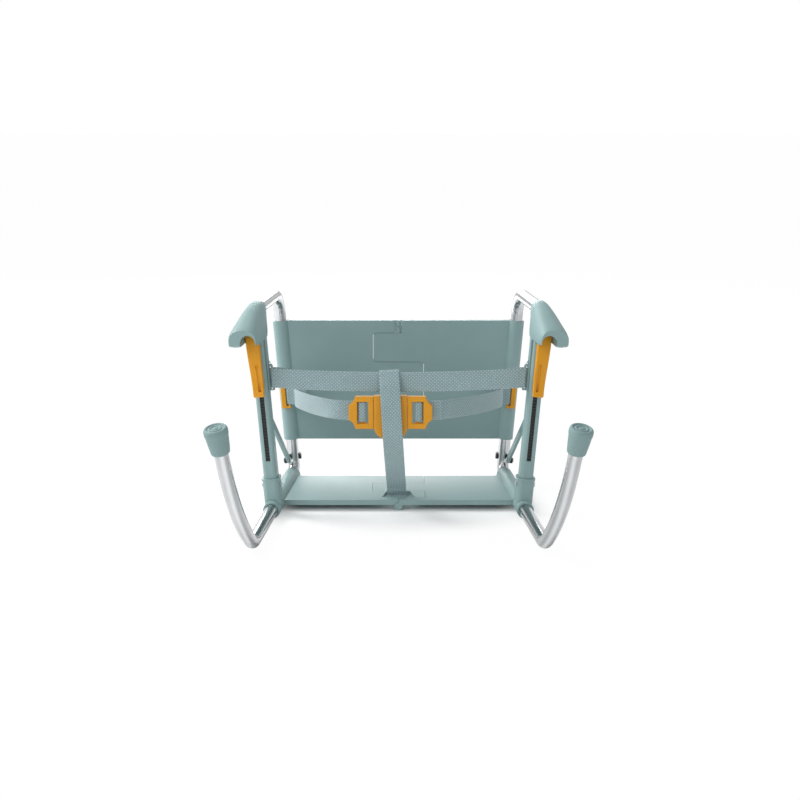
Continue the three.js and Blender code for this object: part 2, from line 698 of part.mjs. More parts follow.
// Belt anchor: an orange bar on the backrest sleeve, with a thin inner bar that the waist belt loops round
const anchorLow = 110;
const anchorHigh = 152;
const anchorX = 3.5;
const anchorWidth = 8;
const anchorDepth = 4;
const anchorRound = 1.8;
const anchorStandOff = 5.6;
const anchorFootHalf = 3;
const anchorFootHeight = 3.4;
const anchorWindow = 3.6;
const anchorBar = 2.6;
const anchorY = -sleeveRadius - anchorStandOff;
const anchorBarFrom = anchorX - anchorWidth / 2 - anchorWindow - anchorBar;
const anchorBarTo = anchorBarFrom + anchorBar;

function beltAnchor() {
  const bar = roundedColumn(anchorWidth, anchorDepth, anchorRound, anchorLow, anchorHigh, anchorY).translate(anchorX, 0, 0);
  const [front, back] = [anchorY - anchorDepth / 2, anchorY + anchorDepth / 2];
  const thinBar = block([anchorBarFrom, front, anchorLow], [anchorBarTo, back, anchorHigh]);
  const rung = (low) => block([anchorBarFrom, front, low], [anchorX, back, low + anchorFootHeight]);
  const foot = (low) => block([anchorX - anchorFootHalf, anchorY, low],
    [anchorX + anchorFootHalf, -sleeveRadius + sleeveWall, low + anchorFootHeight]);
  const sleeve = rodAlongZ(sleeveRadius + slip, anchorLow - overrun, anchorHigh + overrun, 0, 0, sleeveSides);
  const upper = anchorHigh - anchorFootHeight;
  return carve(bar, { add: [thinBar, rung(anchorLow), rung(upper), foot(anchorLow), foot(upper)], cut: [sleeve] });
}

// A hinge finger seen face on: its root lies past the centre line and its far corners are rounded
function fingerOutline(reach, low, high, radius) {
  const finger = new THREE.Shape();
  finger.moveTo(overrun, low);
  finger.lineTo(overrun, high);
  finger.lineTo(-reach + radius, high);
  finger.absarc(-reach + radius, high - radius, radius, quarterTurn, 2 * quarterTurn);
  finger.lineTo(-reach, low + radius);
  finger.absarc(-reach + radius, low + radius, radius, 2 * quarterTurn, 3 * quarterTurn);
  return finger;
}

// Seat halves: thin panels with sleeves round the rails, hinged in the middle below the panel
const seatFingerOneRun = 40;
const seatFingerTwoRun = 41;
const seatFrontLip = 10;
const seatFrontKnuckleRun = 10;
const seatFingerOne = seatRear + seatFingerOneRun;
const seatFingerTwo = seatFingerOne + seatFingerTwoRun;
const seatFingerThree = seatFront - seatFrontLip;
const seatFrontKnuckle = seatFingerThree - seatFrontKnuckleRun;
const seatFingers = [
  { from: seatRear, to: seatFingerOne, owner: "left" },
  { from: seatFingerOne, to: seatFingerTwo, owner: "right" },
  { from: seatFingerTwo, to: seatFingerThree, owner: "left" },
];
const seatKnuckles = [
  { from: seatRear, to: seatFingerOne, owner: "left" },
  { from: seatFingerOne, to: seatFingerTwo, owner: "right" },
  { from: seatFrontKnuckle, to: seatFingerThree, owner: "left" },
  { from: seatFingerThree, to: seatFront, owner: "right" },
];
const seatShoulder = 12;
const seatShoulderOuter = 8;
const seatShoulderInner = 22;
const seatSleeveGap = 2;
const hingeCap = 3;
const slotRear = 124;
const slotFront = 154;
const slotRearHalf = 18;
const slotFrontHalf = 25;
const strapBarY = 141;
const strapBarRadius = 2.2;
const knuckleSides = 16;

function seatPanel(owner) {
  const low = railHeight - seatThickness / 2;
  const hinge = railHeight - seatHingeDrop;
  const reach = (y) => rearHalfSpacing + Math.tan(splayForward) * y;
  const outline = new THREE.Shape();
  outline.moveTo(seam / 2, -seatRear);
  outline.lineTo(reach(seatRear) - seatShoulderInner, -seatRear);
  outline.quadraticCurveTo(reach(seatRear) - seatShoulder, -seatRear, reach(seatRear) - seatShoulderOuter, -seatRear + seatShoulder);
  outline.lineTo(reach(seatRear), -seatRear + seatShoulder);
  outline.lineTo(reach(seatFront), -seatFront);
  outline.lineTo(seam / 2, -seatFront);
  const flat = (shape, from, thickness) => {
    const plate = new THREE.ExtrudeGeometry(shape, { depth: thickness, bevelEnabled: false, curveSegments: 5 });
    return plate.translate(0, 0, from);
  };
  const sleeveRear = -cornerBendRadius - seatSleeveGap;
  const sleeve = inWorld(rodAlongY(sleeveRadius, -railEnd, sleeveRear, 0, 0, sleeveSides));
  const add = [sleeve];
  const cut = [];
  for (const { from, to, owner: fingerOwner } of seatFingers) {
    if (fingerOwner === owner) {
      const rear = from === seatRear ? -from : -from - seam / 2;
      add.push(flat(fingerOutline(fingerReach, -to + seam / 2, rear, seatFingerRound), low, seatThickness));
    } else {
      const rear = from === seatRear ? -from + overrun : -from + seam / 2;
      const pocket = fingerOutline(fingerReach + seam, -to - seam / 2, rear, seatFingerRound + seam);
      cut.push(mirrored(flat(pocket, low - overrun, seatThickness + 2 * overrun)));
    }
  }
  const late = [];
  for (const { from, to, owner: knuckleOwner } of seatKnuckles) {
    if (knuckleOwner === owner) {
      late.push(rodAlongY(seatKnuckleRadius, -from - seam / 2, -to + seam / 2, 0, hinge, knuckleSides));
    } else {
      cut.push(rodAlongY(seatKnuckleRadius + seam, -from + seam / 2, -to - seam / 2, 0, hinge, knuckleSides));
    }
  }
  const pinBore = rodAlongY(seatPinRadius + slip, overrun, -seatFront + hingeCap, 0, hinge, rivetSides);
  const railBore = inWorld(rodAlongY(boreRadius, overrun, -seatFront - 2 * overrun, 0, 0, sleeveSides));
  const slot = new THREE.Shape();
  slot.moveTo(-slotRearHalf, -slotRear);
  slot.lineTo(slotRearHalf, -slotRear);
  slot.lineTo(slotFrontHalf, -slotFront);
  slot.lineTo(-slotFrontHalf, -slotFront);
  const strapSlot = flat(slot, low - overrun, seatThickness + 2 * overrun);
  const slotted = carve(flat(outline, low, seatThickness), { add, cut: [...cut, strapSlot] });
  const shaped = carve(slotted, { add: late, cut: [pinBore, railBore] });
  if (owner === "right") return shaped;
  const strapBar = rodAlongX(strapBarRadius, -slotFrontHalf, slotFrontHalf, -strapBarY, railHeight, rivetSides);
  return carve(shaped, { add: [strapBar] });
}

const seatPinInset = 1;

function seatPin(from, to) {
  return rodAlongY(seatPinRadius, -from - seatPinInset, -to + seatPinInset, 0, railHeight - seatHingeDrop, rivetSides);
}

// Backrest halves: thin panels with sleeves round the uprights, hinged on the panels' middle plane
const backFingerLow = 76;
const backFingerMiddle = 120;
const backFingerUpper = 182;
const backFingerHigh = 229;
const backLowKnuckle = 64;
const backHighKnuckle = 239;
const backFingers = [
  { from: backFingerUpper, to: backFingerHigh, owner: "right" },
  { from: backFingerMiddle, to: backFingerUpper, owner: "left" },
  { from: backFingerLow, to: backFingerMiddle, owner: "right" },
];
const backKnuckles = [
  { from: backHighKnuckle, to: backHigh, owner: "left" },
  { from: backFingerHigh, to: backHighKnuckle, owner: "right" },
  { from: backLowKnuckle, to: backFingerLow, owner: "left" },
  { from: backLow, to: backLowKnuckle, owner: "right" },
];
const foldBevelReach = 9;

function backPanel(owner) {
  const reach = (z) => rearHalfSpacing + Math.tan(splayUp) * z;
  const outline = new THREE.Shape();
  outline.moveTo(seam / 2, backLow);
  outline.lineTo(reach(backLow), backLow);
  outline.lineTo(reach(backHigh), backHigh);
  outline.lineTo(seam / 2, backHigh);
  const upright = (shape, thickness) => {
    const plate = new THREE.ExtrudeGeometry(shape, { depth: thickness, bevelEnabled: false, curveSegments: 5 });
    return plate.rotateX(quarterTurn).translate(0, thickness / 2, railHeight);
  };
  const front = -backThickness / 2;
  const add = [inWorld(rodAlongZ(sleeveRadius, backLow, backHigh, 0, 0, sleeveSides))];
  const cut = [];
  for (const { from, to, owner: fingerOwner } of backFingers) {
    if (fingerOwner === owner) {
      add.push(upright(fingerOutline(fingerReach, from + seam / 2, to - seam / 2, backFingerRound), backThickness));
    } else {
      const pocket = fingerOutline(fingerReach + seam, from - seam / 2, to + seam / 2, backFingerRound + seam);
      cut.push(mirrored(upright(pocket, backThickness + 2 * overrun)));
    }
  }
  const late = [];
  for (const { from, to, owner: knuckleOwner } of backKnuckles) {
    const [low, high] = [from + railHeight, to + railHeight];
    if (knuckleOwner === owner) {
      late.push(rodAlongZ(backKnuckleRadius, low + seam / 2, high - seam / 2, 0, 0, knuckleSides));
    } else {
      cut.push(rodAlongZ(backKnuckleRadius + backPinPlay, low - seam / 2, high + seam / 2, 0, 0, knuckleSides));
    }
    const bevel = new THREE.Shape();
    bevel.moveTo(-overrun, front - overrun);
    bevel.lineTo(foldBevelReach, front - overrun);
    bevel.lineTo(foldBevelReach, front);
    bevel.lineTo(0, 0);
    bevel.lineTo(-overrun, 0);
    const wedge = new THREE.ExtrudeGeometry(bevel, { depth: to - from + seam, bevelEnabled: false });
    cut.push(wedge.translate(0, 0, low - seam / 2));
  }
  const play = owner === "left" ? slip : backPinPlay;
  const pinBores = [[backLow, backFingerLow], [backFingerHigh, backHigh]].map(([from, to]) => rodAlongZ(backPinRadius + play,
    from + railHeight - overrun, to + railHeight + overrun, 0, 0, rivetSides));
  const tubeBore = inWorld(rodAlongZ(boreRadius, backLow - overrun, backHigh + overrun, 0, 0, sleeveSides));
  const shaped = carve(upright(outline, backThickness), { add, cut });
  return carve(shaped, { add: late, cut: [...pinBores, tubeBore] });
}

const backPinInset = 0.5;

function backPin(from, to) {
  return rodAlongZ(backPinRadius, from + railHeight + backPinInset, to + railHeight - backPinInset, 0, 0, rivetSides);
}

// Webbing: bands of a steady width whose run is drawn in plan or from the side
function band(points, thickness) {
  const curve = new THREE.CatmullRomCurve3(points.map(([x, y]) => new THREE.Vector3(x, y, 0)));
  const steps = 2 * (points.length - 1);
  const [near, far] = [[], []];
  for (let i = 0; i <= steps; i += 1) {
    const place = curve.getPoint(i / steps);
    const heading = curve.getTangent(i / steps);
    const aside = new THREE.Vector2(-heading.y, heading.x).multiplyScalar(thickness / 2);
    near.push(new THREE.Vector2(place.x + aside.x, place.y + aside.y));
    far.push(new THREE.Vector2(place.x - aside.x, place.y - aside.y));
  }
  return new THREE.Shape([...near, ...far.reverse()]);
}

// A band drawn in plan that drops steadily by fall from its first point to its last
function planBand(points, height, fall) {
  const start = points[0][0];
  const end = points.at(-1)[0];
  const run = new THREE.ExtrudeGeometry(band(points, webThickness), { depth: webWidth, bevelEnabled: false });
  const shear = new THREE.Matrix4().makeShear(0, -fall / (end - start), 0, 0, 0, 0);
  return run.translate(-start, 0, height - webWidth / 2).applyMatrix4(shear).translate(start, 0, 0);
}

// A sewn loop of webbing round an upright bar, which fills the given limits in X and Y
const loopWall = webLoopGap + webThickness;
const loopCorner = 2;

function sewnLoop([x1, x2], [y1, y2], middle) {
  const [width, depth] = [x2 - x1 + 2 * webLoopGap, y2 - y1 + 2 * webLoopGap];
  const outer = roundedColumn(width + 2 * webThickness, depth + 2 * webThickness, loopCorner, -webWidth / 2, webWidth / 2, 0, 0, 2);
  const inner = roundedColumn(width, depth, webLoopGap, -webWidth, webWidth, 0, 0, 2);
  return carve(outer, { cut: [inner] }).translate((x1 + x2) / 2, (y1 + y2) / 2, middle);
}

// Guard strap: sags a little from the brackets to the middle
const guardLoopFront = -postSetback - loopHalf - webLoopGap - webThickness / 2;

function guardStrap() {
  const bar = [bracketOuter - loopReach, bracketOuter - loopReach + loopBar];
  const loop = inWorld(sewnLoop(bar, [-postSetback - loopHalf, -postSetback + loopHalf], guardStrapHeight));
  const { x, y, z } = pointInWorld(bar[0] - loopWall + webThickness / 2, guardLoopFront, guardStrapHeight);
  const half = [[0, y - guardStrapBow], [x / 4, y - guardStrapBow], [x / 2, y - guardStrapBow / 2], [x, y]];
  const right = planBand(half, z - guardStrapSag, -guardStrapSag);
  return carve(right, { add: [mirrored(right), loop, mirrored(loop)] });
}

// Waist belt: from its anchor bar forward and in to the buckle tab, where it passes behind the outer bar
const buckleDepth = 9;
const tabBarHalf = 3;
const tabBarDepth = 4;
const tabBarSetback = buckleSetback - 1.6;
const beltRise = 1;
const beltFall = 18;
const beltBow = 6;
const beltKneeShares = [0.62, 0.47];
const tabPassGap = 1.2;

function waistBelt(windowLow, windowHigh, tabEnd) {
  const middle = (windowLow + windowHigh) / 2;
  const z = buckleHeight + railHeight + beltRise;
  const tabDepth = [-tabBarSetback - tabBarDepth / 2, -tabBarSetback + tabBarDepth / 2];
  const tabLoop = sewnLoop([middle - tabBarHalf, middle + tabBarHalf], tabDepth, z);
  const anchorMiddle = (anchorLow + anchorHigh) / 2;
  const anchorLoop = inWorld(sewnLoop([anchorBarFrom, anchorBarTo], [anchorY - anchorDepth / 2, anchorY + anchorDepth / 2], anchorMiddle));
  const end = pointInWorld(anchorBarFrom, anchorY - anchorDepth / 2 - loopWall + webThickness / 2, anchorMiddle);
  const back = tabDepth[1] + loopWall - webThickness / 2;
  const behind = -buckleSetback + buckleDepth / 2 + tabPassGap;
  const [acrossShare, depthShare] = beltKneeShares;
  const run = [
    [middle, back], [tabEnd - buckleDepth, behind], [tabEnd + buckleDepth, behind + buckleDepth / 2],
    [tabEnd + (end.x - tabEnd) * acrossShare, behind + (end.y - behind) * depthShare],
    [end.x - 3 * beltBow, end.y - 4 * beltBow], [end.x, end.y],
  ];
  return carve(planBand(run, z, beltFall), { add: [anchorLoop, tabLoop] });
}

// Crotch strap: looped on the seat's cross bar, up in front of the belly and over the guard strap
const crotchLean = THREE.MathUtils.degToRad(3.2);
const crotchOffset = 2;
const crotchShares = [
  [0.062, 0.05], [0.14, 0.108], [0.636, 0.303], [1.03, 0.545], [1.06, 0.88],
];
const foldRound = 4;
const foldLift = 3;

function crotchStrap() {
  const guardTop = guardStrapHeight - guardStrapSag + railHeight + webWidth / 2;
  const top = guardTop + foldLift;
  const guardMiddle = guardStrapBow - pointInWorld(0, guardLoopFront, guardStrapHeight).y;
  const reach = buckleSetback + buckleDepth / 2 + foldRound;
  const run = [
    [strapBarY + strapBarRadius + webLoopGap + webThickness / 2, railHeight],
    ...crotchShares.map(([forward, up]) => [strapBarY + (reach - strapBarY) * forward, railHeight + (top - railHeight) * up]),
    [guardMiddle + foldRound, top], [guardMiddle, top + foldRound / 2], [guardMiddle - foldRound, top],
    [guardMiddle - foldRound, top - webWidth],
  ];
  const strap = sidePlate(band(run, webThickness), -webWidth / 2, webWidth / 2);
  const ring = rodAlongX(strapBarRadius + loopWall, -webWidth / 2, webWidth / 2, -strapBarY, railHeight, circleSides);
  const hollow = rodAlongX(strapBarRadius + webLoopGap, -webWidth, webWidth, -strapBarY, railHeight, circleSides);
  const leaned = strap.translate(0, 0, -railHeight).rotateY(-crotchLean).translate(-crotchOffset, 0, railHeight);
  return carve(leaned, { add: [ring.translate(-crotchOffset, 0, 0)], cut: [hollow] });
}

// Buckle: a centre block between two adjuster tabs, each with a window and a bar in it for the belt
const tabHalfHeight = 24;
const tabNose = 4;
const tabNoseDrop = 14;
const tabShoulderDrop = 9;
const tabShoulder = 2;
const tabCorner = 6;
const windowHalfHeight = 16;
const buckleBevel = 1;

function buckleTab(low, high, windowLow, windowHigh) {
  const z = buckleHeight + railHeight;
  const outline = new THREE.Shape();
  const [top, bottom] = [z + tabHalfHeight, z - tabHalfHeight];
  outline.moveTo(low, bottom);
  outline.lineTo(high - tabCorner, bottom);
  outline.lineTo(high - tabShoulder, bottom + tabShoulderDrop);
  outline.lineTo(high + tabNose, bottom + tabNoseDrop);
  outline.lineTo(high + tabNose, top - tabNoseDrop);
  outline.lineTo(high - tabShoulder, top - tabShoulderDrop);
  outline.lineTo(high - tabCorner, top);
  outline.lineTo(low, top);
  const opening = new THREE.Path();
  opening.moveTo(windowLow, z - windowHalfHeight);
  opening.lineTo(windowLow, z + windowHalfHeight);
  opening.lineTo(windowHigh, z + windowHalfHeight);
  opening.lineTo(windowHigh, z - windowHalfHeight);
  outline.holes.push(opening);
  const options = {
    depth: buckleDepth - 2 * buckleBevel, bevelEnabled: true, bevelSize: buckleBevel, bevelThickness: buckleBevel,
    bevelSegments: 1, bevelOffset: -buckleBevel,
  };
  const frame = new THREE.ExtrudeGeometry(outline, options).rotateX(quarterTurn);
  frame.translate(0, -buckleSetback + buckleDepth / 2 - buckleBevel, 0);
  const middle = (windowLow + windowHigh) / 2;
  const barReach = windowHalfHeight + 2 * buckleBevel;
  const bar = block([middle - tabBarHalf, -tabBarSetback - tabBarDepth / 2, z - barReach],
    [middle + tabBarHalf, -tabBarSetback + tabBarDepth / 2, z + barReach]);
  return carve(frame, { add: [bar] });
}

const bodyLeft = -35.5;
const bodyRight = 12.5;
const bodyTop = 25;
const bodySide = 24;
const bodyFoot = 38;
const bodyFootStart = 36;
const bodyNotch = 26;
const bodyFootLeft = 3.5;
const bodyToeLeft = 13.5;
const bodyToeRight = 10.5;
const bodyFootRight = 2.5;
const embossRadius = 13;
const embossWidth = 2.4;
const embossHeight = 1;

function buckleBody() {
  const z = buckleHeight + railHeight;
  const middle = (bodyLeft + bodyRight) / 2;
  const outline = new THREE.Shape();
  outline.moveTo(bodyLeft, z + bodyTop);
  outline.lineTo(bodyLeft, z - bodySide);
  outline.quadraticCurveTo(bodyLeft + bodyFootLeft, z - bodyFootStart, bodyLeft + bodyToeLeft, z - bodyFoot);
  outline.quadraticCurveTo(middle, z - bodyNotch, bodyRight - bodyToeRight, z - bodyFoot);
  outline.quadraticCurveTo(bodyRight - bodyFootRight, z - bodyFootStart, bodyRight, z - bodySide);
  outline.lineTo(bodyRight, z + bodyTop);
  const options = {
    depth: buckleDepth, bevelEnabled: true, bevelSize: buckleBevel, bevelThickness: buckleBevel,
    bevelSegments: 1, bevelOffset: -buckleBevel,
  };
  const body = new THREE.ExtrudeGeometry(outline, options).rotateX(quarterTurn);
  body.translate(0, -buckleSetback + buckleDepth / 2 + buckleBevel, 0);
  const face = -buckleSetback - buckleDepth / 2;
  const disc = (radius, back, front) => rodAlongY(radius, back, front, middle, z - embossWidth, sleeveSides);
  const hollow = disc(embossRadius - embossWidth, face + overrun, face - overrun);
  const emboss = carve(disc(embossRadius, face + buckleBevel, face - embossHeight), { cut: [hollow] });
  return carve(body, { add: [emboss] });
}

// Assembly: two mirrored side groups, then the panels and the harness between them
const originSetback = 217.85;
const chair = new THREE.Group();
chair.position.y = originSetback;
const rightSide = new THREE.Group();
rightSide.position.set(rearHalfSpacing, 0, railHeight);
rightSide.rotation.copy(sideTurn);
const leftSide = new THREE.Group();
leftSide.position.set(-rearHalfSpacing, 0, railHeight);
leftSide.rotation.set(0, -splayUp, -splayForward, "ZYX");
chair.add(leftSide, rightSide);

function place(group, name, geometry, material) {
  const mesh = new THREE.Mesh(geometry, material.clone());
  mesh.name = name;
  group.add(mesh);
}

function placePair(name, geometry, material) {
  place(rightSide, `${name}_right`, geometry, material);
  place(leftSide, `${name}_left`, mirrored(geometry), material);
}

const braceTopInner = -lugThickness / 2 - slip;
const clipOuter = braceOuter + 2 * slip + lugThickness;

placePair("frame_tube", frameTube(), finish.aluminium);
placePair("hook_tube", hookTube(), finish.aluminium);
placePair("hook_cap", hookCap(), finish.rubber);
placePair("post", post(), finish.shell);
placePair("rack", rack(), finish.black);
placePair("base_fitting", baseFitting(), finish.shell);
placePair("fitting_pin", fittingPin(), finish.steel);
placePair("guide_ring", guideRing(), finish.black);
placePair("brace", brace(), finish.shell);
placePair("brace_top_rivet", braceRivet(braceTop, braceTopInner, braceOuter + slip), finish.steel);
placePair("brace_foot_rivet", braceRivet(braceFoot, braceInner - slip, clipOuter), finish.steel);
placePair("arm_head", head(), finish.shell);
placePair("table_pad", tablePad(), finish.rubber);
placePair("release_lever", releaseLever(), finish.orange);
placePair("lever_pin", leverPin(), finish.steel);
placePair("strap_bracket", strapBracket(), finish.shell);
placePair("belt_anchor", beltAnchor(), finish.orange);

const rightTab = { low: 12.8, high: 45, windowLow: 20, windowHigh: 36 };
const leftTab = { low: 35.8, high: 68, windowLow: 43.5, windowHigh: 59.5 };

place(chair, "seat_panel_right", seatPanel("right"), finish.shell);
place(chair, "seat_panel_left", mirrored(seatPanel("left")), finish.shell);
place(chair, "seat_hinge_pin_rear", seatPin(seatRear, seatFingerTwo), finish.steel);
place(chair, "seat_hinge_pin_front", seatPin(seatFrontKnuckle, seatFront - hingeCap), finish.steel);
place(chair, "back_panel_right", backPanel("right"), finish.shell);
place(chair, "back_panel_left", mirrored(backPanel("left")), finish.shell);
place(chair, "back_hinge_pin_upper", backPin(backFingerHigh, backHigh), finish.steel);
place(chair, "back_hinge_pin_lower", backPin(backLow, backFingerLow), finish.steel);
place(chair, "guard_strap", guardStrap(), finish.webbing);
place(chair, "waist_belt_right", waistBelt(rightTab.windowLow, rightTab.windowHigh, rightTab.high + tabNose), finish.webbing);
place(chair, "waist_belt_left", mirrored(waistBelt(leftTab.windowLow, leftTab.windowHigh, leftTab.high + tabNose)), finish.webbing);
place(chair, "crotch_strap", crotchStrap(), finish.webbing);
place(chair, "buckle_body", buckleBody(), finish.orange);
place(chair, "buckle_tab_right", buckleTab(rightTab.low, rightTab.high, rightTab.windowLow, rightTab.windowHigh), finish.orange);
place(chair, "buckle_tab_left", mirrored(buckleTab(leftTab.low, leftTab.high, leftTab.windowLow, leftTab.windowHigh)), finish.orange);

export default chair;
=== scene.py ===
from math import cos, pi, radians, sin

import bmesh
import bpy
from mathutils import Matrix, Vector


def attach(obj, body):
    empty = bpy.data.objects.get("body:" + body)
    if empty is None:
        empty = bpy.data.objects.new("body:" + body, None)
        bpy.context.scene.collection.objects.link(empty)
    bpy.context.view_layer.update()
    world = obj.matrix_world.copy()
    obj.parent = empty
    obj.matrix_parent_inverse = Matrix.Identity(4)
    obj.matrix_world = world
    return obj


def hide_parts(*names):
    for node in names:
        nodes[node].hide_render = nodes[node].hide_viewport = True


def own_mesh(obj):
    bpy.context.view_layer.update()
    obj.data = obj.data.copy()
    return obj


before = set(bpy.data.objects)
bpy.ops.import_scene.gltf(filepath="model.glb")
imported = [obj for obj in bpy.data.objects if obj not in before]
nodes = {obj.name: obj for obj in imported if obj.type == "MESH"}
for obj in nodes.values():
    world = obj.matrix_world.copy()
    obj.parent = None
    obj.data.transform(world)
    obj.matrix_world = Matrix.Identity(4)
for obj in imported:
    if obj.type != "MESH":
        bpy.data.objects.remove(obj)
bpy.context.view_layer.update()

scene = bpy.context.scene

# Camera, floor and light. The chair stands on a white studio floor and is seen
# from the table's side, a little above it. The backdrop is white where the
# camera sees it, half white in reflections, and a soft grey as a light.
camera_data = bpy.data.cameras.new("studio_camera")
camera_data.lens = 54.0
camera_data.sensor_width = 36.0
camera_data.shift_x = 0.0019
camera = bpy.data.objects.new("studio_camera", camera_data)
camera.location = (0.0, -1.6672, 0.5665)
camera.rotation_euler = (radians(77.0), 0.0, 0.0)
scene.collection.objects.link(camera)
scene.camera = camera
scene.view_settings.view_transform = "Standard"


def new_node(tree, kind, inputs=None, **settings):
    """A node with its settings made, and with its inputs linked to sockets or set to values."""
    node = tree.nodes.new(kind)
    for name, value in settings.items():
        setattr(node, name, value)
    for name, value in (inputs or {}).items():
        if isinstance(value, bpy.types.NodeSocket):
            tree.links.new(value, node.inputs[name])
        else:
            node.inputs[name].default_value = value
    return node


white = (1.0, 1.0, 1.0, 1.0)
backdrop_grey = (0.62, 0.63, 0.64, 1.0)
white_in_reflections = 0.5

world = bpy.data.worlds.new("white_studio")
world.use_nodes = True
scene.world = world
world_tree = world.node_tree
background = world_tree.nodes["Background"]
background.inputs["Color"].default_value = backdrop_grey
seen_white = new_node(world_tree, "ShaderNodeBackground", {"Color": white})
ray = new_node(world_tree, "ShaderNodeLightPath")
seen = new_node(world_tree, "ShaderNodeMath", {
    0: ray.outputs["Is Camera Ray"],
    1: ray.outputs["Is Transmission Ray"],
}, operation="MAXIMUM")
whiteness = new_node(world_tree, "ShaderNodeMath", {
    0: ray.outputs["Is Glossy Ray"],
    1: white_in_reflections,
    2: seen.outputs[0],
}, operation="MULTIPLY_ADD", use_clamp=True)
backdrop = new_node(world_tree, "ShaderNodeMixShader", {
    "Fac": whiteness.outputs[0],
    1: background.outputs[0],
    2: seen_white.outputs[0],
})
world_tree.links.new(backdrop.outputs[0], world_tree.nodes["World Output"].inputs["Surface"])


def area_lamp(name, place, aim, size, power):
    data = bpy.data.lights.new(name, "AREA")
    data.shape = "DISK"
    data.size = size
    data.energy = power
    lamp = bpy.data.objects.new(name, data)
    lamp.location = place
    lamp.rotation_euler = (Vector(aim) - Vector(place)).to_track_quat("-Z", "Y").to_euler()
    scene.collection.objects.link(lamp)


seat_middle = (0.0, 0.0, 0.1)
strap_middle = (0.0, 0.0, 0.15)
area_lamp("window_lamp", (-1.9, 0.6, 1.9), seat_middle, size=1.2, power=50.0)
area_lamp("back_lamp", (-0.3, 2.4, 1.3), seat_middle, size=1.6, power=34.0)
area_lamp("fill_lamp", (-1.5, -1.5, 1.6), strap_middle, size=1.6, power=15.0)

floor_half = 60.0
floor_corners = ((-1, -1), (1, -1), (1, 1), (-1, 1))
floor_mesh = bpy.data.meshes.new("studio_floor")
floor_mesh.from_pydata([(x * floor_half, y * floor_half, 0.0) for x, y in floor_corners],
                       [], [(0, 1, 2, 3)])
floor = bpy.data.objects.new("studio_floor", floor_mesh)
scene.collection.objects.link(floor)

# Round the chair the floor is shaded and takes its shadow. Farther out the camera
# sees it glow. Both edges are distances from the centre, with Y stretched first.
shadow_stretch = (1.0, 1.6, 1.0)
shadow_centre = (0.0, 0.16, 0.0)
shadow_edge, glow_edge = 0.15, 0.28
full_glow = 0.97

floor_material = bpy.data.materials.new("white_floor")
floor_material.use_nodes = True
floor_tree = floor_material.node_tree
floor_shader = floor_tree.nodes["Principled BSDF"]
floor_shader.inputs["Base Color"].default_value = (0.93, 0.93, 0.93, 1.0)
floor_shader.inputs["Roughness"].default_value = 0.9
floor_shader.inputs["Specular IOR Level"].default_value = 0.1
glow = new_node(floor_tree, "ShaderNodeEmission", {"Color": white})
floor_ray = new_node(floor_tree, "ShaderNodeLightPath")
floor_where = new_node(floor_tree, "ShaderNodeTexCoord")
stretched = new_node(floor_tree, "ShaderNodeVectorMath", {
    0: floor_where.outputs["Object"],
    1: shadow_stretch,
}, operation="MULTIPLY")
distance = new_node(floor_tree, "ShaderNodeVectorMath", {
    0: stretched.outputs[0],
    1: shadow_centre,
}, operation="DISTANCE")
fade = new_node(floor_tree, "ShaderNodeMapRange", {
    "Value": distance.outputs["Value"],
    "From Min": shadow_edge,
    "From Max": glow_edge,
    "To Min": 0.0,
    "To Max": full_glow,
}, interpolation_type="SMOOTHSTEP")
glow_share = new_node(floor_tree, "ShaderNodeMath", {
    0: floor_ray.outputs["Is Camera Ray"],
    1: fade.outputs["Result"],
}, operation="MULTIPLY")
floor_mix = new_node(floor_tree, "ShaderNodeMixShader", {
    "Fac": glow_share.outputs[0],
    1: floor_shader.outputs[0],
    2: glow.outputs[0],
})
floor_tree.links.new(floor_mix.outputs[0], floor_tree.nodes["Material Output"].inputs["Surface"])
floor.data.materials.append(floor_material)


# Side frame tubes: one 19 mm aluminium tube each, polished and clear anodised,
# bent into armrest, back upright and seat rail. Faint drawing lines run along it.
class Field:
    """A socket of one material, so that masks and patterns can be written as sums."""

    def __init__(self, tree, socket):
        self.tree = tree
        self.socket = socket

    def math(self, operation, *values):
        inputs = as_sockets(dict(enumerate(values)))
        node = new_node(self.tree, "ShaderNodeMath", inputs, operation=operation)
        return Field(self.tree, node.outputs[0])

    def __add__(self, other):
        return self.math("ADD", self, other)

    __radd__ = __add__

    def __mul__(self, other):
        return self.math("MULTIPLY", self, other)

    __rmul__ = __mul__

    def __sub__(self, other):
        return self.math("SUBTRACT", self, other)

    def __rsub__(self, other):
        return self.math("SUBTRACT", other, self)

    def sine(self):
        return self.math("SINE", self)

    def size(self):
        return self.math("ABSOLUTE", self)


def as_sockets(inputs):
    """The inputs of a node, where each Field is given as its socket."""
    return {name: value.socket if isinstance(value, Field) else value
            for name, value in inputs.items()}


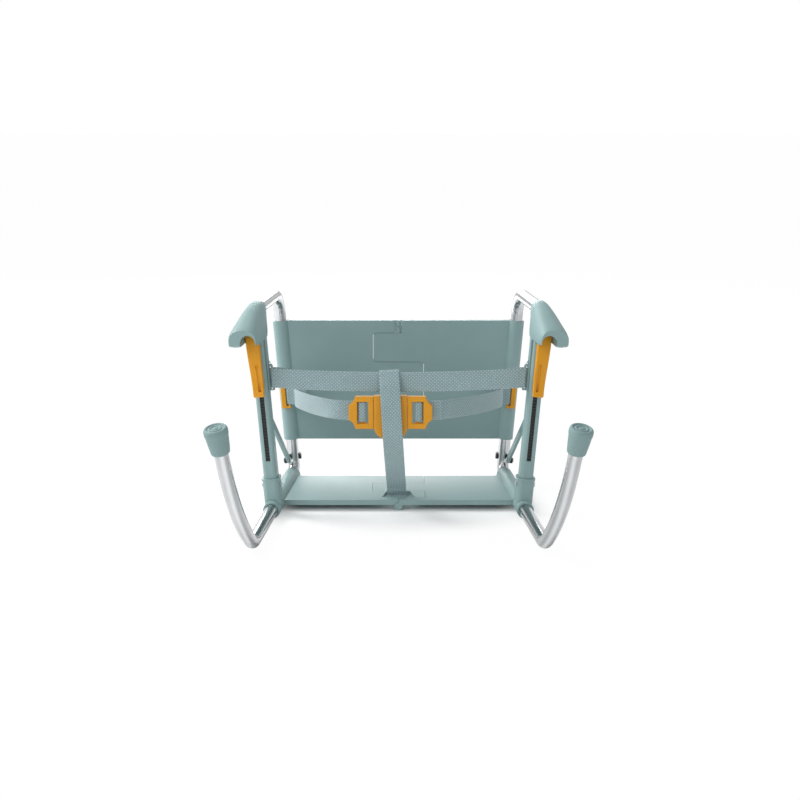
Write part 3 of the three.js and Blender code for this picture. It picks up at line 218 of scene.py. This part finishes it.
class Finish:
    """A material in the making: its Principled shader and the nodes that feed it."""

    def __init__(self, name, color, roughness, metallic=0.0, **plain):
        self.material = bpy.data.materials.new(name)
        self.material.use_nodes = True
        self.tree = self.material.node_tree
        self.shader = self.tree.nodes["Principled BSDF"]
        self.color = (*color, 1.0)
        self.shader.inputs["Base Color"].default_value = self.color
        self.shader.inputs["Roughness"].default_value = roughness
        self.shader.inputs["Metallic"].default_value = metallic
        for socket, value in plain.items():
            self.shader.inputs[socket.replace("_", " ")].default_value = value

    def node(self, kind, inputs, output=0, **settings):
        node = new_node(self.tree, kind, as_sockets(inputs), **settings)
        return Field(self.tree, node.outputs[output])

    def place(self, stretch=(1.0, 1.0, 1.0), source="Object"):
        where = self.node("ShaderNodeTexCoord", {}, source)
        return self.node("ShaderNodeMapping", {"Vector": where, "Scale": stretch})

    def noise(self, scale, detail, vector=None):
        where = vector or self.place()
        return self.node("ShaderNodeTexNoise", {"Vector": where, "Scale": scale, "Detail": detail})

    def shade(self, mask, darker, lighter):
        """Mixes two tones of the colour. The mix's sockets for colours go by number only."""
        low = tuple(c * darker for c in self.color[:3]) + (1.0,)
        high = tuple(min(1.0, c * lighter) for c in self.color[:3]) + (1.0,)
        factor, first, second, result = 0, 6, 7, 2
        mix = self.node("ShaderNodeMix", {factor: mask, first: low, second: high}, result,
                        data_type="RGBA")
        self.tree.links.new(mix.socket, self.shader.inputs["Base Color"])

    def rough(self, field):
        self.tree.links.new(field.socket, self.shader.inputs["Roughness"])

    def bump(self, height, distance, strength):
        bump = self.node("ShaderNodeBump",
                         {"Height": height, "Distance": distance, "Strength": strength})
        self.tree.links.new(bump.socket, self.shader.inputs["Normal"])


tube_radius = 0.0095
setback = 0.21785
rail_height = 0.0125
half_spacing = 0.169
frame_toe, frame_lean = radians(4.8), radians(4.23)
side_place = (
    Matrix.Translation((half_spacing, setback, rail_height))
    @ Matrix.Rotation(frame_toe, 4, "Z")
    @ Matrix.Rotation(frame_lean, 4, "Y")
)
to_left = Matrix.Diagonal((-1.0, 1.0, 1.0, 1.0))

aluminium = Finish("polished_aluminium", (0.60, 0.61, 0.62), roughness=0.2, metallic=1.0)
along_tube = aluminium.place((6.0, 900.0, 1.0), "UV")
drawn_lines = aluminium.noise(1.0, detail=2.0, vector=along_tube)
cloud = aluminium.noise(22.0, detail=3.0)
# Bands round the tube's girth are painted reflection, the dark stripes a polished tube shows; the
# cloud is a random tone.
girth_run = aluminium.node("ShaderNodeSeparateXYZ", {"Vector": aluminium.place(source="UV")}, 1)
round_tube = girth_run * (1.0 / tube_radius)
painted_reflection_bands = (round_tube * 4.0 + cloud * 1.5).sine() * 0.5 + (round_tube * 7.0 + 1.0).sine() * 0.3
aluminium.shade(painted_reflection_bands * 0.5 + cloud * 0.3 + 0.35, darker=0.5, lighter=1.2)
aluminium.rough(drawn_lines * 0.12 + cloud * 0.06 + 0.12)
aluminium.bump(drawn_lines, distance=0.00003, strength=0.5)


def new_piece(name, mesh, material=None):
    piece = bpy.data.objects.new(name, mesh)
    scene.collection.objects.link(piece)
    if material is not None:
        mesh.materials.clear()
        mesh.materials.append(material)
    return piece


def smooth_faces(mesh, sharp_degrees=35.0):
    mesh.shade_smooth()
    mesh.set_sharp_from_angle(angle=radians(sharp_degrees))


def side_path(start, heading, moves, step=0.0022):
    """Points in the side plane, as a tube bender makes them. A move is (None, length) for a
    straight run or (radius, degrees) for a clockwise bend."""
    y, z = start
    angle = radians(heading)
    points = [Vector((0.0, y, z))]
    for radius, amount in moves:
        if radius is None:
            y, z = y + amount * cos(angle), z + amount * sin(angle)
            points.append(Vector((0.0, y, z)))
            continue
        count = max(6, int(radius * radians(amount) / step))
        turn = radians(amount) / count
        chord = 2.0 * radius * sin(turn / 2.0)
        for _ in range(count):
            angle -= turn / 2.0
            y, z = y + chord * cos(angle), z + chord * sin(angle)
            angle -= turn / 2.0
            points.append(Vector((0.0, y, z)))
    return points


def swept_tube(name, points, radius, sides=40):
    """A closed tube in the side plane, with its length and girth in metres as the UV map."""
    vertices, faces, lengths = [], [], [0.0]
    for i, point in enumerate(points):
        before, after = points[max(i - 1, 0)], points[min(i + 1, len(points) - 1)]
        ahead = (after - before).normalized()
        aside = Vector((1.0, 0.0, 0.0))
        up = aside.cross(ahead).normalized()
        if i:
            lengths.append(lengths[-1] + (point - points[i - 1]).length)
        for k in range(sides):
            turn = 2.0 * pi * k / sides
            vertices.append(point + aside * (radius * cos(turn)) + up * (radius * sin(turn)))
    for i in range(len(points) - 1):
        for k in range(sides):
            a, b = i * sides + k, i * sides + (k + 1) % sides
            faces.append((a, b, b + sides, a + sides))
    faces.append(tuple(reversed(range(sides))))
    faces.append(tuple(range(len(vertices) - sides, len(vertices))))
    mesh = bpy.data.meshes.new(name)
    mesh.from_pydata(vertices, [], faces)
    uv = mesh.uv_layers.new(name="run")
    for polygon in mesh.polygons:
        corners = [(loop, *divmod(mesh.loops[loop].vertex_index, sides))
                   for loop in polygon.loop_indices]
        closing = any(k == sides - 1 for _, _, k in corners)
        for loop, ring, k in corners:
            share = 1.0 if closing and k == 0 else k / sides
            uv.data[loop].uv = (lengths[ring], share * 2.0 * pi * radius)
    smooth_faces(mesh)
    return mesh


def mirrored_mesh(mesh, name):
    copy = mesh.copy()
    copy.name = name
    copy.transform(to_left)
    copy.flip_normals()
    return copy


def both_sides(name, mesh, material, body, replaced):
    """Places a mesh drawn in the right side frame's own axes on both sides of the chair."""
    mesh.transform(side_place)
    for side, data in (("right", mesh), ("left", mirrored_mesh(mesh, f"{name}_left"))):
        piece = new_piece(f"{name}_{side}", data, material)
        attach(piece, f"{body}_{side}")
        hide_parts(f"{replaced}_{side}")


armrest_end = (-0.170, 0.293)
frame_moves = [(None, 0.136), (0.034, 90.0), (None, 0.239), (0.020, 90.0), (None, 0.148)]
frame_mesh = swept_tube("side_tube", side_path(armrest_end, 0.0, frame_moves), tube_radius)
both_sides("side_tube", frame_mesh, aluminium.material, "side_frame", "frame_tube")

# Hook legs: the same tube, which runs forward under the table, bends up through
# a small radius, and rises in an easy arc to a straight end that leans outwards.
fitting_end = (-0.181, 0.0)
hook_moves = [(None, 0.155), (0.030, 40.1), (0.205, 36.9), (None, 0.062)]
hook_run = side_path(fitting_end, 180.0, hook_moves)
hook_mesh = swept_tube("hook_leg", hook_run, tube_radius)
hook_lean = Matrix.Rotation(radians(3.0), 4, "Y")
hook_mesh.transform(hook_lean)
both_sides("hook_leg", hook_mesh, aluminium.material, "clamp_leg", "hook_tube")

# Hook caps: moulded rubber cups pushed over the tube ends. The end face has a
# round lip and two raised rings that grip the underside of the table.
rubber = Finish("teal_rubber", (0.19, 0.285, 0.285), roughness=0.7)
grain = rubber.noise(1400.0, detail=2.0)
bloom = rubber.noise(30.0, detail=3.0)
rubber.shade(bloom, darker=0.9, lighter=1.12)
rubber.rough(bloom * 0.2 + 0.58)
rubber.bump(grain, distance=0.00008, strength=0.4)

cap_over_tube = 0.0287
cap_profile = [
    (0.0098, 0.0004), (0.0104, 0.0), (0.0113, 0.0), (0.0120, 0.0007), (0.0124, 0.0022),
    (0.0136, 0.012), (0.0149, 0.0245), (0.0151, 0.0255), (0.0154, 0.0262), (0.0157, 0.0285),
    (0.0157, 0.0315), (0.0153, 0.0335), (0.0145, 0.0350), (0.0134, 0.0358), (0.0124, 0.0359),
    (0.0115, 0.0355), (0.0110, 0.0348), (0.0104, 0.0344), (0.0092, 0.0344), (0.0087, 0.0347),
    (0.0083, 0.0353), (0.0074, 0.0356), (0.0066, 0.0353), (0.0062, 0.0347), (0.0056, 0.0344),
    (0.0042, 0.0344), (0.0037, 0.0347), (0.0033, 0.0352), (0.0018, 0.0355), (0.0, 0.0355),
]


def turned(name, profile, sides=64):
    """A solid of revolution about Z from (radius, height) pairs; its open start is closed flat."""
    mesh = bpy.data.meshes.new(name)
    vertices, faces = [], []
    for radius, height in profile:
        for k in range(sides):
            turn = 2.0 * pi * k / sides
            vertices.append((radius * cos(turn), radius * sin(turn), height))
    for i in range(len(profile) - 1):
        for k in range(sides):
            a, b = i * sides + k, i * sides + (k + 1) % sides
            faces.append((a, b, b + sides, a + sides))
    faces.append(tuple(reversed(range(sides))))
    mesh.from_pydata(vertices, [], faces)
    work = bmesh.new()
    work.from_mesh(mesh)
    bmesh.ops.remove_doubles(work, verts=work.verts, dist=0.000005)
    bmesh.ops.recalc_face_normals(work, faces=work.faces)
    work.to_mesh(mesh)
    work.free()
    smooth_faces(mesh, 50.0)
    return mesh


hook_tip = hook_run[-1]
hook_heading = (hook_run[-1] - hook_run[-2]).normalized()
cap_mesh = turned("hook_cap", cap_profile)
cap_turn = Vector((0.0, 0.0, 1.0)).rotation_difference(hook_heading).to_matrix().to_4x4()
cap_start = Matrix.Translation(hook_tip - hook_heading * cap_over_tube)
cap_mesh.transform(hook_lean @ cap_start @ cap_turn)
both_sides("grip_cap", cap_mesh, rubber.material, "clamp_leg", "hook_cap")


# Moulded fittings: posts, base fittings and braces in glass-filled nylon with a
# fine spark-eroded grain. The moulded edges have a small radius.
def finished_copy(node, edge, sharp=32.0, segments=2, seam_along=None):
    """The CAD solid with its moulding radii: flat triangles joined, then sharp edges rounded.
    A panel with a seam has its rounded faces marked as material 1."""
    work = bmesh.new()
    work.from_mesh(nodes[node].data)
    bmesh.ops.remove_doubles(work, verts=work.verts, dist=0.00002)
    bmesh.ops.dissolve_limit(work, angle_limit=radians(0.6), verts=work.verts, edges=work.edges)
    mesh = bpy.data.meshes.new(f"{node}_finished")
    work.to_mesh(mesh)
    work.free()
    if mesh.uv_layers.active:
        mesh.uv_layers.remove(mesh.uv_layers.active)
    piece = new_piece(f"{node}_moulding", mesh)
    bevel = piece.modifiers.new("moulding_radius", "BEVEL")
    bevel.width = edge
    bevel.segments = segments
    bevel.limit_method = "ANGLE"
    bevel.angle_limit = radians(sharp)
    bevel.miter_outer = "MITER_ARC"
    bevel.use_clamp_overlap = True
    if seam_along is not None:
        bevel.material = 1
    even = piece.modifiers.new("even_shading", "WEIGHTED_NORMAL")
    even.weight = 90
    even.keep_sharp = True
    mesh.shade_smooth()
    bake(piece)
    return piece


def bake(piece):
    """Turns a piece's modifiers into plain mesh."""
    depsgraph = bpy.context.evaluated_depsgraph_get()
    ready = bpy.data.meshes.new_from_object(piece.evaluated_get(depsgraph))
    old = piece.data
    piece.modifiers.clear()
    piece.data = ready
    bpy.data.meshes.remove(old)


def dress(node, material, body, slot, edge, seam_along=None, **how):
    """Puts the finished copy of a CAD solid, in one material, in that solid's place."""
    piece = finished_copy(node, edge, seam_along=seam_along, **how)
    piece.data.materials.clear()
    piece.data.materials.append(material)
    if seam_along is not None:
        mark_seams(piece.data, seam_along)
    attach(piece, body)
    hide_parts(node)
    return piece


shell = Finish("teal_moulding", (0.225, 0.335, 0.335), roughness=0.5)
fine_grain = shell.noise(2600.0, detail=1.0)
soft_cloud = shell.noise(14.0, detail=3.0)
flow = shell.noise(55.0, detail=4.0)
shell.shade(soft_cloud * 0.6 + flow * 0.4, darker=0.94, lighter=1.07)
shell.rough(flow * 0.12 + 0.42)
shell.bump(fine_grain, distance=0.00005, strength=0.35)

for side in ("left", "right"):
    leg = f"clamp_leg_{side}"
    dress(f"post_{side}", shell.material, leg, "shell", edge=0.0004)
    dress(f"base_fitting_{side}", shell.material, leg, "shell", edge=0.0006)
    dress(f"brace_{side}", shell.material, leg, "shell", edge=0.0005)

# Racks and guide clips: black acetal, smooth and a little shiny.
# The rack's square teeth show through the slot in the front of each post.
black = Finish("black_acetal", (0.012, 0.013, 0.014), roughness=0.42)
rub = black.noise(240.0, detail=3.0)
black.shade(rub, darker=0.7, lighter=1.6)
black.rough(rub * 0.2 + 0.32)
black.bump(rub, distance=0.00004, strength=0.4)
for side in ("left", "right"):
    leg = f"clamp_leg_{side}"
    dress(f"rack_{side}", black.material, leg, "black", edge=0.0002)
    dress(f"guide_ring_{side}", black.material, leg, "black", edge=0.0005)

# Pins and rivets: bright zinc-plated steel, with domed heads where they show.
# The hinge pins stay with the left halves of the seat and the backrest.
steel = Finish("bright_steel", (0.62, 0.63, 0.64), roughness=0.3, metallic=1.0)
plating = steel.noise(600.0, detail=2.0)
steel.shade(plating, darker=0.9, lighter=1.08)
steel.rough(plating * 0.18 + 0.2)
steel.bump(plating, distance=0.00003, strength=0.3)
for side in ("left", "right"):
    leg = f"clamp_leg_{side}"
    for pin in ("fitting_pin", "brace_top_rivet", "brace_foot_rivet"):
        dress(f"{pin}_{side}", steel.material, leg, "steel", edge=0.0007, segments=3)
    dress(f"lever_pin_{side}", steel.material, f"side_frame_{side}", "steel", edge=0.0004)
for panel, ends in (("seat", ("rear", "front")), ("back", ("upper", "lower"))):
    for end in ends:
        dress(f"{panel}_hinge_pin_{end}", steel.material, f"{panel}_half_left", "steel",
              edge=0.0003)

# Arm heads: moulded noses in the same teal nylon, pushed over the armrest ends.
# Each guides its post, carries the lever's pin and holds the strap's bracket.
for side in ("left", "right"):
    body = f"side_frame_{side}"
    dress(f"arm_head_{side}", shell.material, body, "shell", edge=0.0009, sharp=40.0, segments=3)
    dress(f"strap_bracket_{side}", shell.material, body, "shell", edge=0.0004)

# Table pads: the same rubber as the caps, pressed into a pocket under each arm
# head, where the chair bears on the table top.
for side in ("left", "right"):
    dress(f"table_pad_{side}", rubber.material, f"side_frame_{side}", "rubber", edge=0.0003)

# Release levers: orange nylon, each hung from its pin in an arm head. It has a
# groove for the fingers and carries the pawl that enters the rack.
orange = Finish("orange_moulding", (0.66, 0.285, 0.008), roughness=0.36,
                Specular_IOR_Level=0.3, Coat_Weight=0.05)
orange_grain = orange.noise(1800.0, detail=1.0)
orange_cloud = orange.noise(40.0, detail=3.0)
orange.shade(orange_cloud, darker=0.93, lighter=1.08)
orange.rough(orange_cloud * 0.14 + 0.3)
orange.bump(orange_grain, distance=0.00003, strength=0.3)
for side in ("left", "right"):
    dress(f"release_lever_{side}", orange.material, f"lever_{side}", "orange",
          edge=0.0008, segments=3)


# Seat and backrest: two moulded panels each, in the same teal nylon, which turn
# on the tubes and meet in a finger joint with a steel pin through its knuckles.
def mark_seams(mesh, seam_along, fingers_reach=0.046, border=0.0015):
    """Keeps the painted seam shade on the rounded edges of the fingers only. The seam runs along
    one axis, where the panel's outer edges lie within the border of its ends."""
    mesh.materials.append(seam.material)
    ends = [vertex.co[seam_along] for vertex in mesh.vertices]
    low, high = min(ends) + border, max(ends) - border
    for polygon in mesh.polygons:
        place = polygon.center
        inner = abs(place.x) < fingers_reach and low < place[seam_along] < high
        polygon.material_index = 1 if polygon.material_index == 1 and inner else 0


# The seam's material is painted shade: a dark teal for the shadow in the finger joints' narrow
# gaps, with a random speckle.
seam = Finish("seam_shadow", (0.055, 0.085, 0.085), roughness=0.7)
seam_shade_speckle = seam.noise(300.0, detail=2.0)
seam.shade(seam_shade_speckle, darker=0.7, lighter=1.3)
seam.rough(seam_shade_speckle * 0.2 + 0.6)

along_y, along_z = 1, 2
for side in ("left", "right"):
    dress(f"seat_panel_{side}", shell.material, f"seat_half_{side}", "shell",
          edge=0.0005, seam_along=along_y)
    dress(f"back_panel_{side}", shell.material, f"back_half_{side}", "shell",
          edge=0.0005, seam_along=along_z)

# Belt anchors: moulded in the levers' orange nylon and fixed to the backrest at
# its outer edges. Each has an inner bar for a waist belt.
for side in ("left", "right"):
    dress(f"belt_anchor_{side}", orange.material, f"back_half_{side}", "orange", edge=0.0006)

# Webbing: 29 mm polyester in a plain weave, grey teal with a paler fleck. The
# guard strap spans the arm heads' brackets and is sewn back round a bar in each.
warp_pitch = 0.0024
weft_pitch = 0.0026
webbing = Finish("teal_webbing", (0.255, 0.35, 0.365), roughness=0.9, Sheen_Weight=0.35)
web_uv = webbing.place(source="UV")
along = webbing.node("ShaderNodeSeparateXYZ", {"Vector": web_uv}, 0)
across = webbing.node("ShaderNodeSeparateXYZ", {"Vector": web_uv}, 1)
warp = (across * (pi / warp_pitch)).sine()
weft = (along * (pi / weft_pitch)).sine()
weave = warp * weft
ribs = weft.size() * 0.5 + warp.size() * 0.5
fleck = webbing.noise(900.0, detail=2.0)
wear = webbing.noise(26.0, detail=3.0)
grains = webbing.noise(420.0, detail=1.0)
tone = weave * 0.35 + ribs * 0.7 + fleck * 0.3 + wear * 0.2
webbing.shade(tone * 1.2 + grains * 0.5 - 0.6, darker=0.68, lighter=1.42)
webbing.rough(fleck * 0.15 + 0.78)
webbing.bump(weave * 0.5 + ribs, distance=0.00035, strength=0.8)

web_width = 0.029
web_thickness = 0.0016
level_up = Vector((0.0, 0.0, 1.0))
rearward = Vector((0.0, 1.0, 0.0))
side_up = (side_place.to_3x3() @ level_up).normalized()


def smooth_run(points, steps=6):
    """A Catmull-Rom curve through the points, which are (position, across) pairs."""
    run = []
    count = len(points)
    for i in range(count - 1):
        quads = [points[max(i - 1, 0)], points[i], points[i + 1], points[min(i + 2, count - 1)]]
        for s in range(steps):
            t = s / steps
            weights = (
                -0.5 * t + t * t - 0.5 * t ** 3,
                1.0 - 2.5 * t * t + 1.5 * t ** 3,
                0.5 * t + 2.0 * t * t - 1.5 * t ** 3,
                -0.5 * t * t + 0.5 * t ** 3,
            )
            place = sum((q[0] * w for q, w in zip(quads, weights)), Vector())
            wide = (points[i][1] * (1.0 - t) + points[i + 1][1] * t).normalized()
            run.append((place, wide))
    run.append(points[-1])
    return run


def axes_at(run, i):
    """The directions across the band and out of its face, at one place of its run."""
    place, wide = run[i]
    ahead = (run[min(i + 1, len(run) - 1)][0] - run[max(i - 1, 0)][0]).normalized()
    wide = (wide - ahead * wide.dot(ahead)).normalized()
    return wide, wide.cross(ahead).normalized()


def webbing_mesh(name, run):
    """A woven band with rounded selvedges; the UV map holds metres along and across it."""
    half_w, half_t = web_width / 2.0, web_thickness / 2.0
    half_section = []
    for turn in range(5):
        angle = -pi / 2.0 + pi * turn / 4.0
        half_section.append((half_w - half_t + half_t * cos(angle), half_t * sin(angle)))
    half_section += [(half_w * part, half_t) for part in (0.6, 0.2, -0.2, -0.6)]
    section = half_section + [(-aside, -up) for aside, up in half_section]
    sides = len(section)
    vertices, faces, lengths = [], [], [0.0]
    for i, (place, _) in enumerate(run):
        wide, out = axes_at(run, i)
        if i:
            lengths.append(lengths[-1] + (place - run[i - 1][0]).length)
        vertices += [place + wide * aside + out * up for aside, up in section]
    for i in range(len(run) - 1):
        for k in range(sides):
            a, b = i * sides + k, i * sides + (k + 1) % sides
            faces.append((a, a + sides, b + sides, b))
    faces.append(tuple(range(sides)))
    faces.append(tuple(reversed(range(len(vertices) - sides, len(vertices)))))
    mesh = bpy.data.meshes.new(name)
    mesh.from_pydata(vertices, [], faces)
    uv = mesh.uv_layers.new(name="weave")
    for loop in mesh.loops:
        ring, k = divmod(loop.vertex_index, sides)
        uv.data[loop.index].uv = (lengths[ring], section[k][0])
    work = bmesh.new()
    work.from_mesh(mesh)
    bmesh.ops.recalc_face_normals(work, faces=work.faces)
    work.to_mesh(mesh)
    work.free()
    smooth_faces(mesh, 60.0)
    return mesh


def on_side(vector, hand):
    """A place or direction of the right side, or its mirror image where hand is -1."""
    return Vector((vector.x * hand, vector.y, vector.z))


def loop_round(middle, toward, out, wide, half_along, half_aside, count=9):
    """Points that turn round a bar: from one face of it, over its far side, to its other face."""
    points = []
    for i in range(count):
        angle = -pi / 2.0 + pi * i / (count - 1)
        offset = toward * (half_along * cos(angle)) + out * (half_aside * sin(angle))
        points.append((middle + offset, wide))
    return points


def squeeze(piece):
    """Gives a soft piece a mesh of its own."""
    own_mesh(piece)


def band(name, run, node):
    piece = new_piece(name, webbing_mesh(name, run), webbing.material)
    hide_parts(node)
    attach(piece, "side_frame_left")
    squeeze(piece)


guard_height = 0.194
guard_sag = 0.0047
guard_bow = 0.006
bracket_bar = side_place @ Vector((-0.01685, -0.184, guard_height))
guard_loop_along, guard_loop_aside = 0.0023, 0.0038


def guard_end(hand):
    """From the sewn tail behind, round one bracket's bar, to the front of the bar."""
    bar, wide = on_side(bracket_bar, hand), on_side(side_up, hand)
    inward = Vector((-hand, 0.0, 0.0))
    points = [
        (bar + inward * 0.024 - rearward * 0.0020, wide),
        (bar + inward * 0.008 + rearward * 0.0026, wide),
    ]
    points += reversed(loop_round(bar, -inward, rearward, wide, guard_loop_along, guard_loop_aside))
    points.append((bar + inward * 0.007 - rearward * (guard_loop_aside + 0.0003), wide))
    return points


def guard_run():
    """From one sewn end to the other, across the front with a little sag and bow."""
    points = guard_end(-1)
    for share in (-0.8, -0.45, 0.0, 0.45, 0.8):
        slack = 1.0 - share * share
        depth = bracket_bar.y - guard_loop_aside - guard_bow * slack
        height = bracket_bar.z - guard_sag * slack
        points.append((Vector((share * bracket_bar.x, depth, height)), level_up))
    return points + guard_end(1)[::-1]


thread = Finish("sewing_thread", (0.36, 0.45, 0.46), roughness=0.7)
thread_twist = thread.noise(1500.0, detail=1.0)
thread.shade(thread_twist, darker=0.7, lighter=1.25)
thread.rough(thread_twist * 0.2 + 0.6)

stitch_pitch = 0.0024
stitch_half_size = (0.00032, 0.00032, 0.00095)
stitch_lift = 0.0001


def on_webbing(run, first, last, across, face):
    """A line of stitches along the band, or across it where first and last are the same place."""
    path = []
    for i in range(first, last + 1):
        wide, out = axes_at(run, i)
        lift = out * (face * (web_thickness / 2.0 + stitch_lift))
        path += [run[i][0] + wide * offset + lift for offset in across]
    return path


def sewn_box(run, first, last, face, half=0.0115):
    """A box of stitches: two rows along the band's edges and one across at each end."""
    rows = [on_webbing(run, first, last, (side,), face) for side in (-half, half)]
    rows += [on_webbing(run, i, i, (-half, 0.0, half), face) for i in (first, last)]
    return rows


def stitches(name, paths):
    """Thread lengths set along the paths by geometry nodes, then turned into plain mesh."""
    lines = bpy.data.meshes.new(name)
    vertices, edges = [], []
    for path in paths:
        edges += [(len(vertices) + i, len(vertices) + i + 1) for i in range(len(path) - 1)]
        vertices += path
    lines.from_pydata(vertices, edges, [])
    piece = new_piece(name, lines)
    group = bpy.data.node_groups.new(name, "GeometryNodeTree")
    group.interface.new_socket("Geometry", in_out="INPUT", socket_type="NodeSocketGeometry")
    pitch = group.interface.new_socket("Pitch", in_out="INPUT", socket_type="NodeSocketFloat")
    size = group.interface.new_socket("Half size", in_out="INPUT", socket_type="NodeSocketVector")
    group.interface.new_socket("Geometry", in_out="OUTPUT", socket_type="NodeSocketGeometry")
    given = new_node(group, "NodeGroupInput")
    curve = new_node(group, "GeometryNodeMeshToCurve", {"Mesh": given.outputs[0]})
    points = new_node(group, "GeometryNodeCurveToPoints", {
        "Curve": curve.outputs["Curve"],
        "Length": given.outputs[1],
    }, mode="LENGTH")
    ball = new_node(group, "GeometryNodeMeshUVSphere", {"Segments": 8, "Rings": 6, "Radius": 1.0})
    copies = new_node(group, "GeometryNodeInstanceOnPoints", {
        "Points": points.outputs["Points"],
        "Rotation": points.outputs["Rotation"],
        "Instance": ball.outputs["Mesh"],
        "Scale": given.outputs[2],
    })
    real = new_node(group, "GeometryNodeRealizeInstances", {
        "Geometry": copies.outputs["Instances"],
    })
    dyed = new_node(group, "GeometryNodeSetMaterial", {
        "Geometry": real.outputs["Geometry"],
        "Material": thread.material,
    })
    new_node(group, "NodeGroupOutput", {0: dyed.outputs["Geometry"]})
    modifier = piece.modifiers.new("sewing", "NODES")
    modifier.node_group = group
    modifier[pitch.identifier] = stitch_pitch
    modifier[size.identifier] = stitch_half_size
    bake(piece)
    smooth_faces(piece.data, 60.0)
    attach(piece, "side_frame_left")
    squeeze(piece)


# Places along a smoothed run, just past its first loop and just before its last.
beside_first_loop, beside_last_loop = (67, 69), (99, 101)
guard = smooth_run(guard_run())
band("guard_strap_webbing", guard, "guard_strap")
stitches("guard_stitches",
         sewn_box(guard, *beside_first_loop, -1) + sewn_box(guard, *beside_last_loop, -1))

# Waist belts: the same webbing, looped round the inner bar of each orange anchor
# and round the bar in the window of the buckle's tab.
belt_level = 0.146 + rail_height + 0.001
anchor_bar = side_place @ Vector((-0.0054, -0.0181, 0.131))


def belt_run(hand, bar_middle, tab_end):
    """From the anchor's inner bar forward, behind the tab's outer bar, round the window's bar."""
    anchor, wide = on_side(anchor_bar, hand), on_side(side_up, hand)
    inward = Vector((-hand, 0.0, 0.0))
    points = [
        (anchor + inward * 0.030 - rearward * 0.0175, wide),
        (anchor + inward * 0.010 - rearward * 0.0060, wide),
    ]
    points += loop_round(anchor, -inward, rearward, wide, half_along=0.0026, half_aside=0.0033)
    points.append((anchor + inward * 0.009 + rearward * 0.0002, wide))
    for x, depth, drop in (
        (0.160, 0.052, 0.0135),
        (tab_end + (0.1748 - tab_end) * 0.62, 0.1097, 0.0085),
        (tab_end + 0.034, 0.166, 0.0020),
        (tab_end + 0.009, 0.1857, 0.0004),
        (tab_end - 0.008, 0.1894, 0.0),
        (bar_middle + 0.0045, 0.1914, 0.0),
    ):
        points.append((Vector((x * hand, setback - depth, belt_level - drop)), level_up))
    bar = Vector((bar_middle * hand, setback - 0.1954, belt_level))
    points += loop_round(bar, inward, -rearward, level_up, half_along=0.0041, half_aside=0.0031,
                         count=11)
    for x, depth in (
        (bar_middle + 0.0052, 0.1976),
        (tab_end - 0.010, 0.1914),
        (tab_end + 0.014, 0.1856),
    ):
        points.append((Vector((x * hand, setback - depth, belt_level)), level_up))
    return points


for side, hand, bar_middle, tab_end in (("right", 1, 0.028, 0.049), ("left", -1, 0.0515, 0.072)):
    belt = smooth_run(belt_run(hand, bar_middle, tab_end))
    band(f"waist_webbing_{side}", belt, f"waist_belt_{side}")
    stitches(f"waist_stitches_{side}", sewn_box(belt, *beside_first_loop, hand))

# Crotch strap: rises from the cross bar in the seat slot, passes in front of the
# buckle, and folds over the guard strap, behind which its end hangs down.
crotch_middle = -0.002
crotch_lean = 0.0559
slot_bar = Vector((crotch_middle, setback - 0.141, rail_height))
slot_loop_radius = 0.0036
guard_depth = 0.1934
fold_above_guard = 0.0007


def crotch_run():
    """From the end of the loop round the slot's bar, up the front, and over the guard strap."""
    points = []
    for i in reversed(range(9)):
        angle = radians(215.0 - 250.0 * i / 8.0)
        offset = Vector((0.0, -cos(angle), sin(angle))) * slot_loop_radius
        points.append((slot_bar + offset, Vector((1.0, 0.0, 0.0))))
    rise = [(0.1455, 0.0104), (0.150, 0.0224), (0.182, 0.0629), (0.2074, 0.1131), (0.2096, 0.150)]
    top = guard_height + web_width / 2.0 - guard_sag + fold_above_guard
    fold = [
        (0.0115, -0.022), (0.0040, -0.006), (0.0018, 0.0005), (-0.0002, 0.0026),
        (-0.0022, 0.0004), (-0.0026, -0.010), (-0.0024, -0.034),
    ]
    wide = Vector((cos(crotch_lean), 0.0, sin(crotch_lean)))
    for depth, height in rise + [(guard_depth + depth, top + height) for depth, height in fold]:
        place = (crotch_middle - crotch_lean * height, setback - depth, rail_height + height)
        points.append((Vector(place), wide))
    return points


band("crotch_webbing", smooth_run(crotch_run()), "crotch_strap")

# Buckle: an orange centre block between two tabs whose windows take the belts.
# It hangs on the soft belts, so it goes on the left side frame with them, in a mesh of its own.
for node in ("buckle_body", "buckle_tab_left", "buckle_tab_right"):
    piece = dress(node, orange.material, "side_frame_left", "orange", edge=0.0006, segments=3)
    squeeze(piece)
